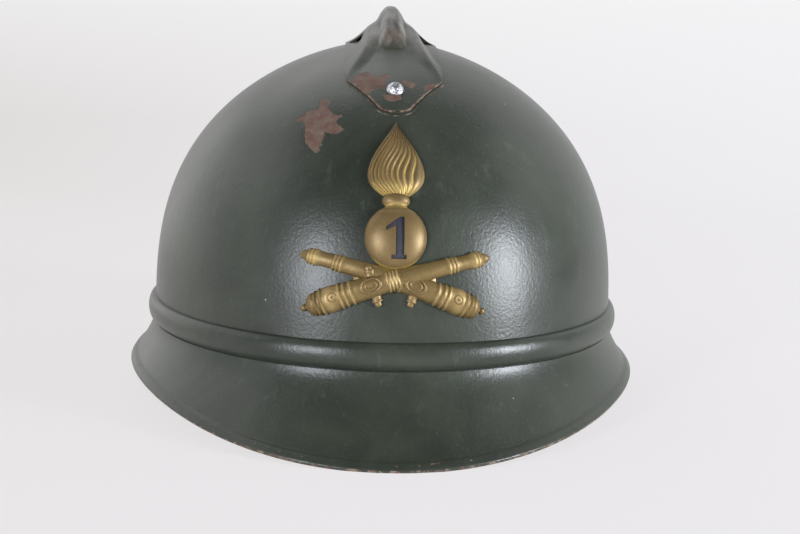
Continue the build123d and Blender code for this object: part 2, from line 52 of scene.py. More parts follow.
def mode(name):
    bpy.ops.object.mode_set(mode=name)


def deselect():
    if bpy.context.mode != "OBJECT":
        mode("OBJECT")
    bpy.ops.object.select_all(action="DESELECT")
    bpy.context.tool_settings.mesh_select_mode = (True, False, False)


def linear(hex_code):
    channels = [int(hex_code[place:place + 2], 16) / 255 for place in (1, 3, 5)]
    return [c / 12.92 if c <= 0.04045 else ((c + 0.055) / 1.055) ** 2.4 for c in channels] + [1.0]


def node(tree, kind, inputs=None, **settings):
    """A shader node with its settings, its input values and its links. A node given as a value is linked by the
    first of its outputs that is in use."""
    made = tree.nodes.new("ShaderNode" + kind)
    for name, value in settings.items():
        setattr(made, name, value)
    for key, value in (inputs or {}).items():
        if isinstance(value, bpy.types.Node):
            value = next(output for output in value.outputs if output.enabled)
        if isinstance(value, bpy.types.NodeSocket):
            tree.links.new(value, made.inputs[key])
        else:
            made.inputs[key].default_value = value
    return made


def new_finish(name):
    """An empty material and its node tree."""
    made = bpy.data.materials.new(name)
    made.use_nodes = True
    made.node_tree.nodes.clear()
    return made, made.node_tree


def seen_plainly(tree):
    """One where the camera, a reflection or glass sees the surface, and nothing where it only gives light."""
    rays = node(tree, "LightPath")
    seen = node(tree, "Math", {0: rays.outputs["Is Camera Ray"], 1: rays.outputs["Is Glossy Ray"]},
                operation="MAXIMUM")
    return node(tree, "Math", {0: seen, 1: rays.outputs["Is Transmission Ray"]}, operation="MAXIMUM")


camera_distance, camera_yaw, camera_pitch, camera_roll = 480 * mm, 0.0526, 0.1434, -0.0291
aim = Vector((7.851 * mm, 0, 47.72 * mm))
camera_lens, sensor_width = 46.53, 36.0
turn = Matrix.Rotation(-camera_yaw, 3, "Z")
look = Vector((0, math.cos(camera_pitch), -math.sin(camera_pitch)))
level_up = Vector((0, math.sin(camera_pitch), math.cos(camera_pitch)))
right = Vector((math.cos(camera_roll), 0, 0)) - level_up * math.sin(camera_roll)
up = Vector((math.sin(camera_roll), 0, 0)) + level_up * math.cos(camera_roll)
facing = Matrix([turn @ right, turn @ up, turn @ -look]).transposed()
bpy.ops.object.camera_add(location=turn @ (aim - look * camera_distance), rotation=facing.to_euler())
camera = bpy.context.object
camera.data.lens, camera.data.sensor_width = camera_lens, sensor_width
camera.data.clip_start = 10 * mm
bpy.context.scene.camera = camera
bpy.context.scene.view_settings.view_transform = "Standard"

lamp_distance = 1200 * mm
lamps = (
    ("left_softbox", -37.0, 9.0, 230 * mm, 520 * mm, 10.0, "#f2f5ff"),
    ("right_softbox", 60.0, 6.0, 230 * mm, 560 * mm, 20.0, "#f2f6ff"),
    ("left_panel", -125.0, 12.0, 900 * mm, 900 * mm, 1.5, "#ffffff"),
    ("upper_left_panel", -80.0, 43.0, 700 * mm, 700 * mm, 1.0, "#ffffff"),
    ("upper_right_panel", 95.0, 40.0, 700 * mm, 700 * mm, 1.3, "#ffffff"),
    ("rear_panel", -150.0, 55.0, 800 * mm, 800 * mm, 1.4, "#ffffff"),
)
for name, around, above, width, height, watts, tint in lamps:
    around, above = math.radians(around), math.radians(above)
    away = Vector((math.sin(around) * math.cos(above), -math.cos(around) * math.cos(above), math.sin(above)))
    bpy.ops.object.light_add(type="AREA", location=aim + away * lamp_distance)
    lamp = bpy.context.object
    lamp.name = name
    lamp.rotation_euler = away.to_track_quat("Z", "Y").to_euler()
    lamp.data.shape, lamp.data.size, lamp.data.size_y = "RECTANGLE", width, height
    lamp.data.energy, lamp.data.color = watts, linear(tint)[:3]

# The room is plain pale walls: they light the helmet softly, and look brighter than the light that they give.
room_light, room_shown = 0.42, 0.86
world = bpy.data.worlds.new("pale_room")
world.use_nodes = True
bpy.context.scene.world = world
tree = world.node_tree
tree.nodes.clear()
strength = node(tree, "MapRange", {0: seen_plainly(tree), 3: room_light, 4: room_shown})
shown = node(tree, "Background", {0: linear("#f6f6f8"), 1: strength})
node(tree, "OutputWorld", {0: shown})

sweep_width, sweep_front, sweep_back, sweep_top, sweep_fold, fold_steps = 6.0, -3.0, 1.9, 3.2, 0.9, 24
paper_half, paper_low, paper_high, paper_glow, paper_glow_share = 0.9, 0.1, 0.4, 1.12, 0.8
deselect()
bpy.ops.mesh.primitive_plane_add(size=1, location=(0, (sweep_front + sweep_back) / 2, 0))
sweep = bpy.context.object
sweep.name = "paper_sweep"
mode("EDIT")
bpy.ops.transform.resize(value=(sweep_width, sweep_back - sweep_front, 1))
bpy.ops.mesh.select_all(action="DESELECT")
mode("OBJECT")
for edge in sweep.data.edges:
    edge.select = all(sweep.data.vertices[i].co.y > 0 for i in edge.vertices)
mode("EDIT")
bpy.ops.mesh.select_mode(type="EDGE")
bpy.ops.mesh.extrude_region_move(TRANSFORM_OT_translate={"value": (0, 0, sweep_top)})
bpy.ops.mesh.select_all(action="DESELECT")
mode("OBJECT")
for edge in sweep.data.edges:
    ends = [sweep.data.vertices[i].co for i in edge.vertices]
    edge.select = all(end.y > 0 and end.z < mm for end in ends)
mode("EDIT")
bpy.ops.mesh.bevel(offset=sweep_fold, segments=fold_steps)
mode("OBJECT")
bpy.ops.object.shade_smooth()
# Matt paper: pale, with painted shade making it a little greyer to the left and painted light making it paler higher
# up, and lit evenly where it is seen, so that no horizon shows.
paper, tree = new_finish("matt_background_paper")
place = node(tree, "TexCoord")
sides = node(tree, "SeparateXYZ", {0: place.outputs["Object"]})
# Painted shade greys the paper's tone towards the left, and painted light pales it higher up.
across = node(tree, "MapRange", {0: sides, 1: -paper_half, 2: paper_half})
tone = node(tree, "Mix", {0: across, 6: linear("#dedad9"), 7: linear("#f0eff2")}, data_type="RGBA")
higher = node(tree, "MapRange", {0: sides.outputs[2], 1: paper_low, 2: paper_high, 4: 0.8})
tone = node(tree, "Mix", {0: higher, 6: tone, 7: linear("#f4f4f4")}, data_type="RGBA")
matt = node(tree, "BsdfDiffuse", {0: tone})
even = node(tree, "MapRange", {0: seen_plainly(tree), 3: 0.0, 4: paper_glow_share})
glow = node(tree, "Emission", {0: tone, 1: paper_glow})
both = node(tree, "MixShader", {0: even, 1: matt, 2: glow})
node(tree, "OutputMaterial", {0: both})
sweep.data.materials.append(paper)

cloth_radius, cloth_cuts = 1.55, (((0, 0.42, 0), (0, 1, 0)), ((-0.9, 0, 0), (-0.8, 0.6, 0)))
deselect()
bpy.ops.mesh.primitive_uv_sphere_add(segments=48, ring_count=24, radius=cloth_radius)
cloth = bpy.context.object
cloth.name = "dark_cloth"
mode("EDIT")
for spot, away in cloth_cuts:
    bpy.ops.mesh.select_all(action="SELECT")
    bpy.ops.mesh.bisect(plane_co=spot, plane_no=away, clear_outer=True)
mode("OBJECT")
bpy.ops.object.shade_smooth()
cloth.visible_camera = False
# Dark cotton cloth: nearly black and matt, and seen only in the paint's reflections.
velvet, tree = new_finish("dark_studio_cloth")
matt = node(tree, "BsdfDiffuse", {0: linear("#2b2d2e")})
node(tree, "OutputMaterial", {0: matt})
cloth.data.materials.append(velvet)

# Skull
# The shell is pressed in one piece from 0.7 mm steel sheet: an oval dome with a rolled bead round its foot and
# a short collar under it, which the visor, the neck guard and the liner's clips are fixed to.
sheet = 0.7 * mm
half_width, half_length = 102 * mm, 120 * mm
seam_height, dome_height = 28 * mm, 122.6 * mm
fullness, roundness = 2.76, 1.71
collar_drop, bead_height, bead_proud, bead_round = 5 * mm, 10 * mm, 3 * mm, 0.8
skull_columns, bead_rows, dome_rows = 288, 16, 84
vent_length, vent_width, vent_depth, vent_below = 64 * mm, 9 * mm, 12 * mm, 2 * mm
stretch = half_length / half_width


def dome_z(x, y, off=0.0):
    """Height of the skull's outside over a point in plan, moved out by off."""
    spread = math.hypot(x / (half_width + off), y / (half_length + off))
    return seam_height + (dome_height + off) * (1 - min(spread, 1) ** roundness) ** (1 / fullness)


def dome_normal(x, y, z):
    spread, rise = math.hypot(x / half_width, y / half_length), max(z - seam_height, 0) / dome_height
    flat = roundness * spread ** (roundness - 2)
    steep = fullness * rise ** (fullness - 1)
    return Vector((flat * x / half_width ** 2, flat * y / half_length ** 2, steep / dome_height)).normalized()


def outline_distance(point, outline):
    """Signed distance of a flat point to a closed outline, less than nothing inside it."""
    inside, nearest = False, 1.0
    for start, end in zip(outline, outline[1:] + outline[:1]):
        along = (end[0] - start[0], end[1] - start[1])
        away = (point[0] - start[0], point[1] - start[1])
        share = (along[0] * away[0] + along[1] * away[1]) / (along[0] ** 2 + along[1] ** 2)
        share = min(max(share, 0), 1)
        nearest = min(nearest, math.hypot(away[0] - along[0] * share, away[1] - along[1] * share))
        if (start[1] > point[1]) != (end[1] > point[1]):
            if point[0] < start[0] + along[0] * (point[1] - start[1]) / along[1]:
                inside = not inside
    return -nearest if inside else nearest


def store(piece, name, values):
    """Keeps one number for each vertex, for the piece's material to read."""
    attribute = piece.data.attributes.new(name, "FLOAT", "POINT")
    attribute.data.foreach_set("value", values)


def raise_rings(rows):
    """Extrudes the selected ring up through rows of radius and height, the first of which it is at."""
    for (radius, z), (next_radius, next_z) in zip(rows, rows[1:]):
        bpy.ops.mesh.extrude_region_move(TRANSFORM_OT_translate={"value": (0, 0, next_z - z)})
        share = next_radius / radius
        bpy.ops.transform.resize(value=(share, share, 1), center_override=(0, 0, next_z))


def face_out():
    """Turns all faces of the active piece outwards."""
    mode("EDIT")
    bpy.ops.mesh.select_all(action="SELECT")
    bpy.ops.mesh.normals_make_consistent(inside=False)
    mode("OBJECT")


def oval_wall(name, columns, rows):
    """A wall on the skull's oval, raised through rows of half width and height, left in edit mode."""
    deselect()
    foot = (0, 0, rows[0][1])
    bpy.ops.mesh.primitive_circle_add(vertices=columns, radius=rows[0][0], location=foot)
    bpy.context.object.name = name
    mode("EDIT")
    bpy.ops.transform.resize(value=(1, stretch, 1), center_override=foot)
    raise_rings(rows)
    return bpy.context.object


def hold(*pieces):
    """Selects these pieces alone, the first of them active."""
    deselect()
    for piece in pieces:
        piece.select_set(True)
    bpy.context.view_layer.objects.active = pieces[0]


def finish(piece, material, body, slot, *nodes):
    """Puts a piece's place into its mesh, gives it its material and lets it ride on its body."""
    hold(piece)
    bpy.ops.object.transform_apply(location=True, rotation=True, scale=True)
    if not piece.data.materials:
        piece.data.materials.append(material)
    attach(piece, body)
    if nodes:
        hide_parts(*nodes)


def smooth(degrees):
    """Smooth shading for the active piece, apart from edges sharper than an angle."""
    bpy.ops.object.shade_smooth_by_angle(angle=math.radians(degrees))


def apply_modifier(piece, kind, **settings):
    hold(piece)
    modifier = piece.modifiers.new(kind.lower(), kind)
    for name, value in settings.items():
        setattr(modifier, name, value)
    bpy.ops.object.modifier_apply(modifier=modifier.name)


def cut(piece, cutter, **settings):
    apply_modifier(piece, "BOOLEAN", object=cutter, operation="DIFFERENCE", solver="EXACT", **settings)
    bpy.data.objects.remove(cutter)


# Olive stoving enamel, sprayed thick on steel and a red-brown primer: satin, with a fine orange peel, darker and
# lighter clouds, light nicks, and bare patches whose edges show how thick the paint is.
def olive_enamel(name, patch=None, lines=(), dusty=None):
    """The shell's paint. It is off where the patch attribute is under nothing, and rubbed along lines. Where the
    dusty attribute is high, it is chalked by handling."""
    made, tree = new_finish(name)
    place = node(tree, "TexCoord").outputs["Object"]
    cloud = node(tree, "TexNoise",
                 {"Vector": place, "Scale": 1 / (38 * mm), "Detail": 5.0, "Roughness": 0.62, "Distortion": 0.6})
    cloud_tone = node(tree, "MapRange", {0: cloud, 1: 0.32, 2: 0.68})
    green = node(tree, "Mix", {0: cloud_tone, 6: linear("#2e332b"), 7: linear("#3f4439")}, data_type="RGBA")
    peel = node(tree, "TexNoise", {"Vector": place, "Scale": 1 / (1.15 * mm), "Detail": 2.5, "Roughness": 0.55})
    fleck = node(tree, "MapRange", {0: peel, 1: 0.60, 2: 0.78, 4: 0.6})
    green = node(tree, "Mix", {0: fleck, 6: green, 7: linear("#4f564a")}, data_type="RGBA")
    streak_place = node(tree, "Mapping", {0: place, 3: (1, 1, 0.13)})
    streak = node(tree, "TexNoise", {"Vector": streak_place, "Scale": 1 / (5 * mm), "Detail": 4.0, "Roughness": 0.7})
    streak_tone = node(tree, "MapRange", {0: streak, 1: 0.60, 2: 0.74, 4: 0.30})
    green = node(tree, "Mix", {0: streak_tone, 6: green, 7: linear("#5c6257")}, data_type="RGBA")
    cell = node(tree, "TexVoronoi", {"Vector": place, "Scale": 1 / (7.5 * mm)})
    nick_size = node(tree, "MapRange", {0: cell, 1: 0.050, 2: 0.030, 3: 0.0})
    nick_kind = node(tree, "SeparateColor", {0: cell.outputs["Color"]})
    nick_here = node(tree, "Math", {0: nick_kind, 1: 0.84}, operation="GREATER_THAN")
    nick = node(tree, "Math", {0: nick_size, 1: nick_here}, operation="MULTIPLY")
    green = node(tree, "Mix", {0: nick, 6: green, 7: linear("#a3a59c")}, data_type="RGBA")
    colour = green
    if dusty is not None:
        worn = node(tree, "Attribute", attribute_name=dusty)
        grey = node(tree, "MapRange", {0: streak, 1: 0.36, 2: 0.60, 3: 0.12, 4: 1.0})
        grey = node(tree, "Math", {0: worn.outputs["Fac"], 1: grey}, operation="MULTIPLY")
        warm = node(tree, "TexNoise",
                    {"Vector": streak_place, "Scale": 1 / (3 * mm), "Detail": 5.0, "Roughness": 0.7})
        warm = node(tree, "MapRange", {0: warm, 1: 0.48, 2: 0.60})
        chalk = node(tree, "Mix", {0: warm, 6: linear("#7c7973"), 7: linear("#6a574a")}, data_type="RGBA")
        colour = node(tree, "Mix", {0: grey, 6: colour, 7: chalk}, data_type="RGBA")

    ragged = node(tree, "TexNoise", {"Vector": place, "Scale": 1 / (2.2 * mm), "Detail": 4.0, "Roughness": 0.6})
    rust_tone = node(tree, "TexNoise", {"Vector": place, "Scale": 1 / (3.4 * mm), "Detail": 5.0, "Roughness": 0.7})
    bare = None
    for attribute, centre, half, share in lines:
        far = node(tree, "Attribute", attribute_name=attribute)
        off = node(tree, "Math", {0: far.outputs["Fac"], 1: centre}, operation="SUBTRACT")
        off = node(tree, "Math", {0: off}, operation="ABSOLUTE")
        width = node(tree, "MapRange",
                     {0: rust_tone, 1: 0.64 - 0.34 * share, 2: 0.74 - 0.34 * share, 3: -0.1, 4: half})
        near = node(tree, "Math", {0: width, 1: off}, operation="SUBTRACT")
        near = node(tree, "MapRange", {0: near, 1: -0.08, 2: 0.08})
        bare = near if bare is None else node(tree, "Math", {0: bare, 1: near}, operation="MAXIMUM")
    if bare is not None:
        worn = node(tree, "MapRange", {0: ragged, 1: 0.40, 2: 0.62})
        rubbed = node(tree, "Mix", {0: worn, 6: linear("#5a4236"), 7: linear("#94826f")}, data_type="RGBA")
        colour = node(tree, "Mix", {0: bare, 6: colour, 7: rubbed}, data_type="RGBA")
    if patch is not None:
        far = node(tree, "Attribute", attribute_name=patch)
        edge = node(tree, "MapRange", {0: ragged, 1: 0.2, 2: 0.8, 3: -0.85, 4: 0.85})
        inside = node(tree, "Math", {0: far.outputs["Fac"], 1: edge}, operation="ADD")
        inside = node(tree, "MapRange", {0: inside, 1: 0.10, 2: -0.10})
        primer_tone = node(tree, "ValToRGB", {0: rust_tone})
        ramp = primer_tone.color_ramp
        ramp.elements[0].position, ramp.elements[0].color = 0.34, linear("#6b4238")
        ramp.elements[1].position, ramp.elements[1].color = 0.72, linear("#857668")
        ramp.elements.new(0.46).color = linear("#6c5549")
        ramp.elements.new(0.58).color = linear("#735f50")
        colour = node(tree, "Mix", {0: inside, 6: colour, 7: primer_tone}, data_type="RGBA")
        bare = inside if bare is None else node(tree, "Math", {0: bare, 1: inside}, operation="MAXIMUM")

    gloss = node(tree, "MapRange", {0: cloud, 1: 0.3, 2: 0.7, 3: 0.31, 4: 0.40})
    rough = gloss
    wavy = node(tree, "TexNoise", {"Vector": place, "Scale": 1 / (11 * mm), "Detail": 1.5})
    bump = node(tree, "Bump", {"Strength": 0.35, "Distance": 0.25 * mm, "Height": wavy})
    bump = node(tree, "Bump", {"Strength": 0.75, "Distance": 0.13 * mm, "Height": peel, "Normal": bump})
    bump = node(tree, "Bump", {"Strength": 0.5, "Distance": 0.10 * mm, "Height": nick, "Normal": bump}, invert=True)
    if bare is not None:
        rough = node(tree, "Mix", {0: bare, 2: rough, 3: 0.68}, data_type="FLOAT")
        bump = node(tree, "Bump", {"Strength": 0.8, "Distance": 0.16 * mm, "Height": bare, "Normal": bump},
                    invert=True)
    shader = node(tree, "BsdfPrincipled", {"Base Color": colour, "Roughness": rough, "IOR": 1.5, "Normal": bump})
    node(tree, "OutputMaterial", {0: shader})
    return made


crest_half_length, plate_start = 87 * mm, 67 * mm
half_edge = [(0.0, 87.2 * mm), (3.2 * mm, 86.8 * mm), (5.7 * mm, 85.6 * mm), (18.5 * mm, 67.5 * mm),
             (19.5 * mm, 60 * mm)]
crest_edge = half_edge + [(x, -y) for x, y in reversed(half_edge)]
crest_edge += [(-x, y) for x, y in reversed(crest_edge[1:-1])]

star_chip = [(-37.4, 114.3), (-34.4, 115.7), (-33.4, 116.9), (-28.7, 118.8), (-28.5, 122.0), (-26.7, 122.6),
             (-24.9, 122.0), (-25.3, 119.1), (-23.1, 116.9), (-20.2, 116.5), (-21.9, 114.2), (-21.4, 112.5),
             (-17.9, 111.6), (-21.6, 109.6), (-26.0, 110.3), (-27.2, 106.6), (-27.6, 103.4), (-29.4, 103.0),
             (-32.2, 104.7), (-33.4, 107.0), (-33.6, 112.3), (-35.0, 113.7)]
star_chip = [(x * mm, z * mm) for x, z in star_chip]

rows = [(half_width, seam_height - collar_drop), (half_width, seam_height - collar_drop / 2)]
for step in range(bead_rows + 1):
    angle = math.pi * step / bead_rows
    rows.append((half_width + bead_proud * math.sin(angle) ** bead_round,
                 seam_height + bead_height * (1 - math.cos(angle)) / 2))
first = math.asin((bead_height / dome_height) ** (fullness / 2))
for step in range(1, dome_rows):
    angle = first + (math.pi / 2 - first) * step / dome_rows
    rows.append((half_width * math.cos(angle) ** (2 / roundness),
                 seam_height + dome_height * math.sin(angle) ** (2 / fullness)))
skull = oval_wall("skull_shell", skull_columns, rows)
bpy.ops.mesh.extrude_region_move(
    TRANSFORM_OT_translate={"value": (0, 0, seam_height + dome_height - rows[-1][1])})
bpy.ops.mesh.merge(type="CENTER")
face_out()
mode("EDIT")
bpy.ops.mesh.select_all(action="DESELECT")
mode("OBJECT")
bpy.ops.object.transform_apply(location=True)
chip_low, chip_high, chip_left, chip_right, chip_margin, chip_cuts = 101 * mm, 124 * mm, -39 * mm, -16 * mm, 5 * mm, 3
for face in skull.data.polygons:
    middle = face.center
    face.select = middle.y < 0 and chip_low < middle.z < chip_high and chip_left < middle.x < chip_right
mode("EDIT")
bpy.ops.mesh.subdivide(number_cuts=chip_cuts)
mode("OBJECT")
for vertex in skull.data.vertices:
    x, y, z = vertex.co
    if (y < 0 and chip_low - chip_margin < z < chip_high + chip_margin
            and chip_left - chip_margin < x < chip_right + chip_margin):
        vertex.co.z = dome_z(x, y)
apply_modifier(skull, "SOLIDIFY", thickness=sheet, offset=-1, use_even_offset=True)
deselect()
bpy.ops.mesh.primitive_cylinder_add(vertices=32, radius=vent_width / 2, depth=vent_depth,
                                    location=(0, 0, seam_height + dome_height - vent_below))
slot_cutter = bpy.context.object
for vertex in slot_cutter.data.vertices:
    vertex.co.y += math.copysign((vent_length - vent_width) / 2, vertex.co.y)
cut(skull, slot_cutter)
hold(skull)
smooth(40)
points = [vertex.co for vertex in skull.data.vertices]
far_off, chip_zone, crest_zone = 50.0, 90 * mm, 110 * mm
store(skull, "chip_mm", [outline_distance((p.x, p.z), star_chip) / mm if p.y < 0 and p.z > chip_zone else far_off
                         for p in points])
store(skull, "crest_mm", [outline_distance((p.x, p.y), crest_edge) / mm + max(plate_start - abs(p.y), 0) / mm
                          if p.z > crest_zone else far_off for p in points])
store(skull, "foot_mm", [(p.z - seam_height) / mm for p in points])
skull_paint = olive_enamel("olive_enamel_on_skull", "chip_mm",
                           (("crest_mm", 0.75, 0.26, 0.5), ("foot_mm", 0.1, 0.25, 0.2)))
finish(skull, skull_paint, "root", "olive_paint", "skull")

# Visor and neck guard
# Two flared half rims, pressed from the same sheet and welded on under the bead. Their lower edges are folded
# back into a flat hem that stands a little proud, and both are cut higher over the ears.
fit_gap, top_gap = 0.15 * mm, 0.35 * mm
brim_reach, brim_side_reach, reach_power, brim_flare = 26.7 * mm, 18.9 * mm, 1.35, 1.5
side_rise, rise_power = 10.8 * mm, 3.4
hem_width, hem_proud, rest_flat, hem_fall = 4.0 * mm, 0.6 * mm, 0.3 * mm, 0.85
hem_step = ((0.4, 0.10), (0.9, 0.36), (1.4, 0.68), (1.9, 0.92), (2.4, 1.0))
joint_gap, weld_distance = 0.3 * mm, 0.002 * mm
brim_columns, face_steps, tip_steps = 220, 22, 8


def grid(name, columns, rows):
    """A flat grid, from -1 to 1 both ways, to be bent into a form."""
    deselect()
    bpy.ops.mesh.primitive_grid_add(x_subdivisions=columns, y_subdivisions=rows, size=2)
    bpy.context.object.name = name
    return bpy.context.object


def brim_profile(angle):
    """Closed outline of the rim at one angle, as distances out and down, with each point's wear distances."""
    forward = abs(math.sin(angle))
    reach = brim_side_reach + (brim_reach - brim_side_reach) * forward ** reach_power
    rise = side_rise * (1 - forward ** rise_power)
    drop = seam_height - rise - (sheet + hem_proud) * hem_fall + rest_flat

    def face(depth):
        return Vector((fit_gap + sheet + reach * (depth / seam_height) ** brim_flare, -depth))

    def normal(depth):
        slope = reach * brim_flare / seam_height * (depth / seam_height) ** (brim_flare - 1)
        return Vector((1, slope)).normalized()

    hem_depth = drop - hem_width * normal(drop).x
    depths = [top_gap + (hem_depth - top_gap) * step / face_steps for step in range(face_steps + 1)]
    half_wall, wear = sheet / 2 + hem_proud, []
    outline = [face(depth) for depth in depths]
    tip, square = face(drop), normal(drop)
    along = Vector((square.y, -square.x))
    shoulder = outline[-1]
    for place, share in hem_step:
        outline.append(shoulder + along * place * mm + square * hem_proud * share)
    outline.append(tip + square * hem_proud)
    middle = tip - square * sheet / 2
    for step in range(1, tip_steps):
        swing = math.pi * step / tip_steps
        outline.append(middle + square * half_wall * math.cos(swing) + along * half_wall * math.sin(swing))
    hem_top = face(hem_depth) - square * sheet
    outline += [tip - square * (sheet + hem_proud), hem_top - square * hem_proud, hem_top]
    outline += [face(depth) - normal(depth) * sheet for depth in reversed(depths)]
    outline.append(outline[0])
    for index, point in enumerate(outline):
        from_tip = (point - (tip + along * half_wall)).length / mm
        from_top = (point - outline[0]).length / mm
        wear.append((from_top, from_tip))
    return outline, wear


def close_roll():
    """Sews the long edges of a rolled grid together and fills its ends."""
    mode("EDIT")
    bpy.ops.mesh.select_all(action="SELECT")
    bpy.ops.mesh.remove_doubles(threshold=weld_distance)
    bpy.ops.mesh.fill_holes(sides=0)
    face_out()


def brim(name, side):
    """A half rim: a grid whose columns follow the oval and whose rows follow the rim's outline."""
    profile_count = len(brim_profile(math.pi / 2)[0])
    piece = grid(name, brim_columns, profile_count - 1)
    start = joint_gap / 2 / half_length
    tops, tips, profiles = [], [], {}
    for vertex in piece.data.vertices:
        share, row = (vertex.co.x + 1) / 2, round((vertex.co.y + 1) / 2 * (profile_count - 1))
        angle = side * (start + (math.pi - 2 * start) * share)
        key = round(share * brim_columns)
        if key not in profiles:
            profiles[key] = brim_profile(angle)
        (out, down), (from_top, from_tip) = profiles[key][0][row], profiles[key][1][row]
        foot = Vector((half_width * math.cos(angle), half_length * math.sin(angle), seam_height))
        outwards = Vector((math.cos(angle) * stretch, math.sin(angle), 0)).normalized()
        vertex.co = foot + outwards * out + Vector((0, 0, down))
        vertex.co.z = max(vertex.co.z, 0)
        tops.append(from_top)
        tips.append(from_tip)
    store(piece, "top_mm", tops)
    store(piece, "tip_mm", tips)
    close_roll()
    smooth(38)
    return piece


brim_paint = olive_enamel("olive_enamel_on_brim", None,
                          (("top_mm", 0.0, 0.30, 0.2), ("tip_mm", 0.0, 0.60, 0.55), ("tip_mm", 2.4, 1.3, 0.10)))
finish(brim("visor_rim", -1), brim_paint, "root", "olive_paint", "front_visor")
finish(brim("neck_guard_rim", 1), brim_paint, "root", "olive_paint", "rear_neck_guard")

# Crest
# One long pressing that stiffens the crown and covers its vent slot. Its ridge stands between two grooves and
# falls to a plate at each end, and its raised shoulders end in mouths that let the air out.
crest_gap = 0.25 * mm
mouth_y, mouth_inner, mouth_outer = 20.2 * mm, 12.9 * mm, 17.8 * mm
crest_columns, crest_rows, end_wear_share, ridge_wear, mouth_slack = 104, 212, 1.2, 0.5, 0.2 * mm
ridge_flat, ridge_foot, pleat_run, shoulder_run, shoulder_end = 1.8 * mm, 8.6 * mm, 4.6 * mm, 5.6 * mm, 19.6 * mm
sharp_drop, soft_drop, drop_from, drop_to = 0.2 * mm, 8 * mm, 10.5 * mm, 12.6 * mm


def ease(start, end, value):
    share = min(max((value - start) / (end - start), 0), 1)
    return share * share * (3 - 2 * share)


def follow(table, value):
    """Value read from a short table of places and heights, along straight lines between them."""
    for (place, height), (next_place, next_height) in zip(table, table[1:]):
        if value <= next_place:
            share = min(max((value - place) / (next_place - place), 0), 1)
            return height + (next_height - height) * share
    return table[-1][1]


def smooth_follow(table, value):
    """Value read from a short table as a smooth curve through its points."""
    value = min(max(value, table[0][0]), table[-1][0])
    for index in range(len(table) - 1):
        (x1, y1), (x2, y2) = table[index], table[index + 1]
        if value <= x2:
            x0, y0 = table[index - 1] if index else (2 * x1 - x2, 2 * y1 - y2)
            x3, y3 = table[index + 2] if index + 2 < len(table) else (2 * x2 - x1, 2 * y2 - y1)
            t, width = (value - x1) / (x2 - x1), x2 - x1
            slope_1, slope_2 = (y2 - y0) / (x2 - x0) * width, (y3 - y1) / (x3 - x1) * width
            return ((2 * t ** 3 - 3 * t ** 2 + 1) * y1 + (t ** 3 - 2 * t ** 2 + t) * slope_1
                    + (3 * t ** 2 - 2 * t ** 3) * y2 + (t ** 3 - t ** 2) * slope_2)


middle_section = [(0, 13.7), (1.2, 13.6), (2.3, 13.1), (4.1, 11.1), (5.2, 9.1), (6.2, 7.7), (7.5, 6.8), (9.3, 5.8),
                  (11, 4.4), (13, 2.8), (15, 1.5), (17, 0.6), (19.5, 0)]
ridge_rise = [(0, 13.7), (18, 13.7), (24, 13.4), (30, 12.7), (36, 11.3), (40, 9.5), (43, 7.2), (45.4, 4.3),
              (46.0, 2.9), (46.8, 0.4), (50, 0.0)]
pleat_rise = [(18, 6.4), (30, 5.2), (40, 4.2), (47, 3.1), (52, 2.3), (58, 1.3), (64, 0.5), (69, 0.0)]
pleat_place = [(18, 8.4), (30, 9.6), (40, 10.4), (47, 11.4), (55, 13.8), (62, 17.0), (69, 18.5)]
groove_level = [(18, 8.4), (24, 7.3), (30, 6.2), (36, 5.0), (40, 4.0), (46, 2.0), (50, 0.8), (56, 0.1), (60, 0.0)]


def crest_height(x, y):
    """Height of the crest over the skull, apart from its gap and its sheet."""
    x, y = abs(x), abs(y)
    middle = smooth_follow(middle_section, x / mm) * mm
    if y < mouth_y:
        return middle
    ridge = follow(ridge_rise, y / mm) * mm * (1 - ease(ridge_flat, ridge_foot, x))
    place, rise = smooth_follow(pleat_place, y / mm) * mm, max(smooth_follow(pleat_rise, y / mm), 0) * mm
    level = max(smooth_follow(groove_level, y / mm), 0) * mm
    if x < place:
        end = level + (rise - level) * ease(place - pleat_run, place, x)
    else:
        end = rise * (1 - ease(place, min(place + shoulder_run, shoulder_end), x))
    length = sharp_drop + soft_drop * (1 - ease(drop_from, drop_to, x))
    return middle + (max(end, ridge) - middle) * ease(mouth_y, mouth_y + length, y)


def crest_half_at(y):
    """Half width of the crest's outline at a place along it."""
    for (x, place), (next_x, next_place) in zip(half_edge, half_edge[1:]):
        if y >= next_place:
            return x + (next_x - x) * min(max((place - y) / (place - next_place), 0), 1)
    return half_edge[-1][0]


crest = grid("crest_pressing", crest_columns, crest_rows)
edges, chips, worn = [], [], []
plate_chips = (
    [(-16.4, -69.5), (-14.7, -65.6), (-10.5, -64.3), (-7.7, -68.1), (-2.8, -66.6), (-1.1, -67.7), (-3.5, -71.5),
     (-3.9, -76.9), (-7.0, -75.2), (-9.3, -77.8), (-11.5, -77.7), (-14.3, -72.7)],
    [(2.2, -71.6), (3.8, -70.3), (7.3, -71.3), (8.4, -72.8), (7.5, -74.7), (5.3, -74.8), (3.1, -73.1)],
    [(-4.6, -79.4), (-2.1, -79.0), (2.1, -79.0), (2.4, -81.6), (-1.6, -82.9), (-4.0, -81.3)],
    [(10.5, -73.5), (14.0, -70.4), (16.5, -69.6), (15.0, -72.5), (12.0, -75.6)],
    [(-9.0, 70.0), (-4.0, 66.0), (1.0, 69.0), (-2.0, 72.0), (-6.0, 78.0)],
)
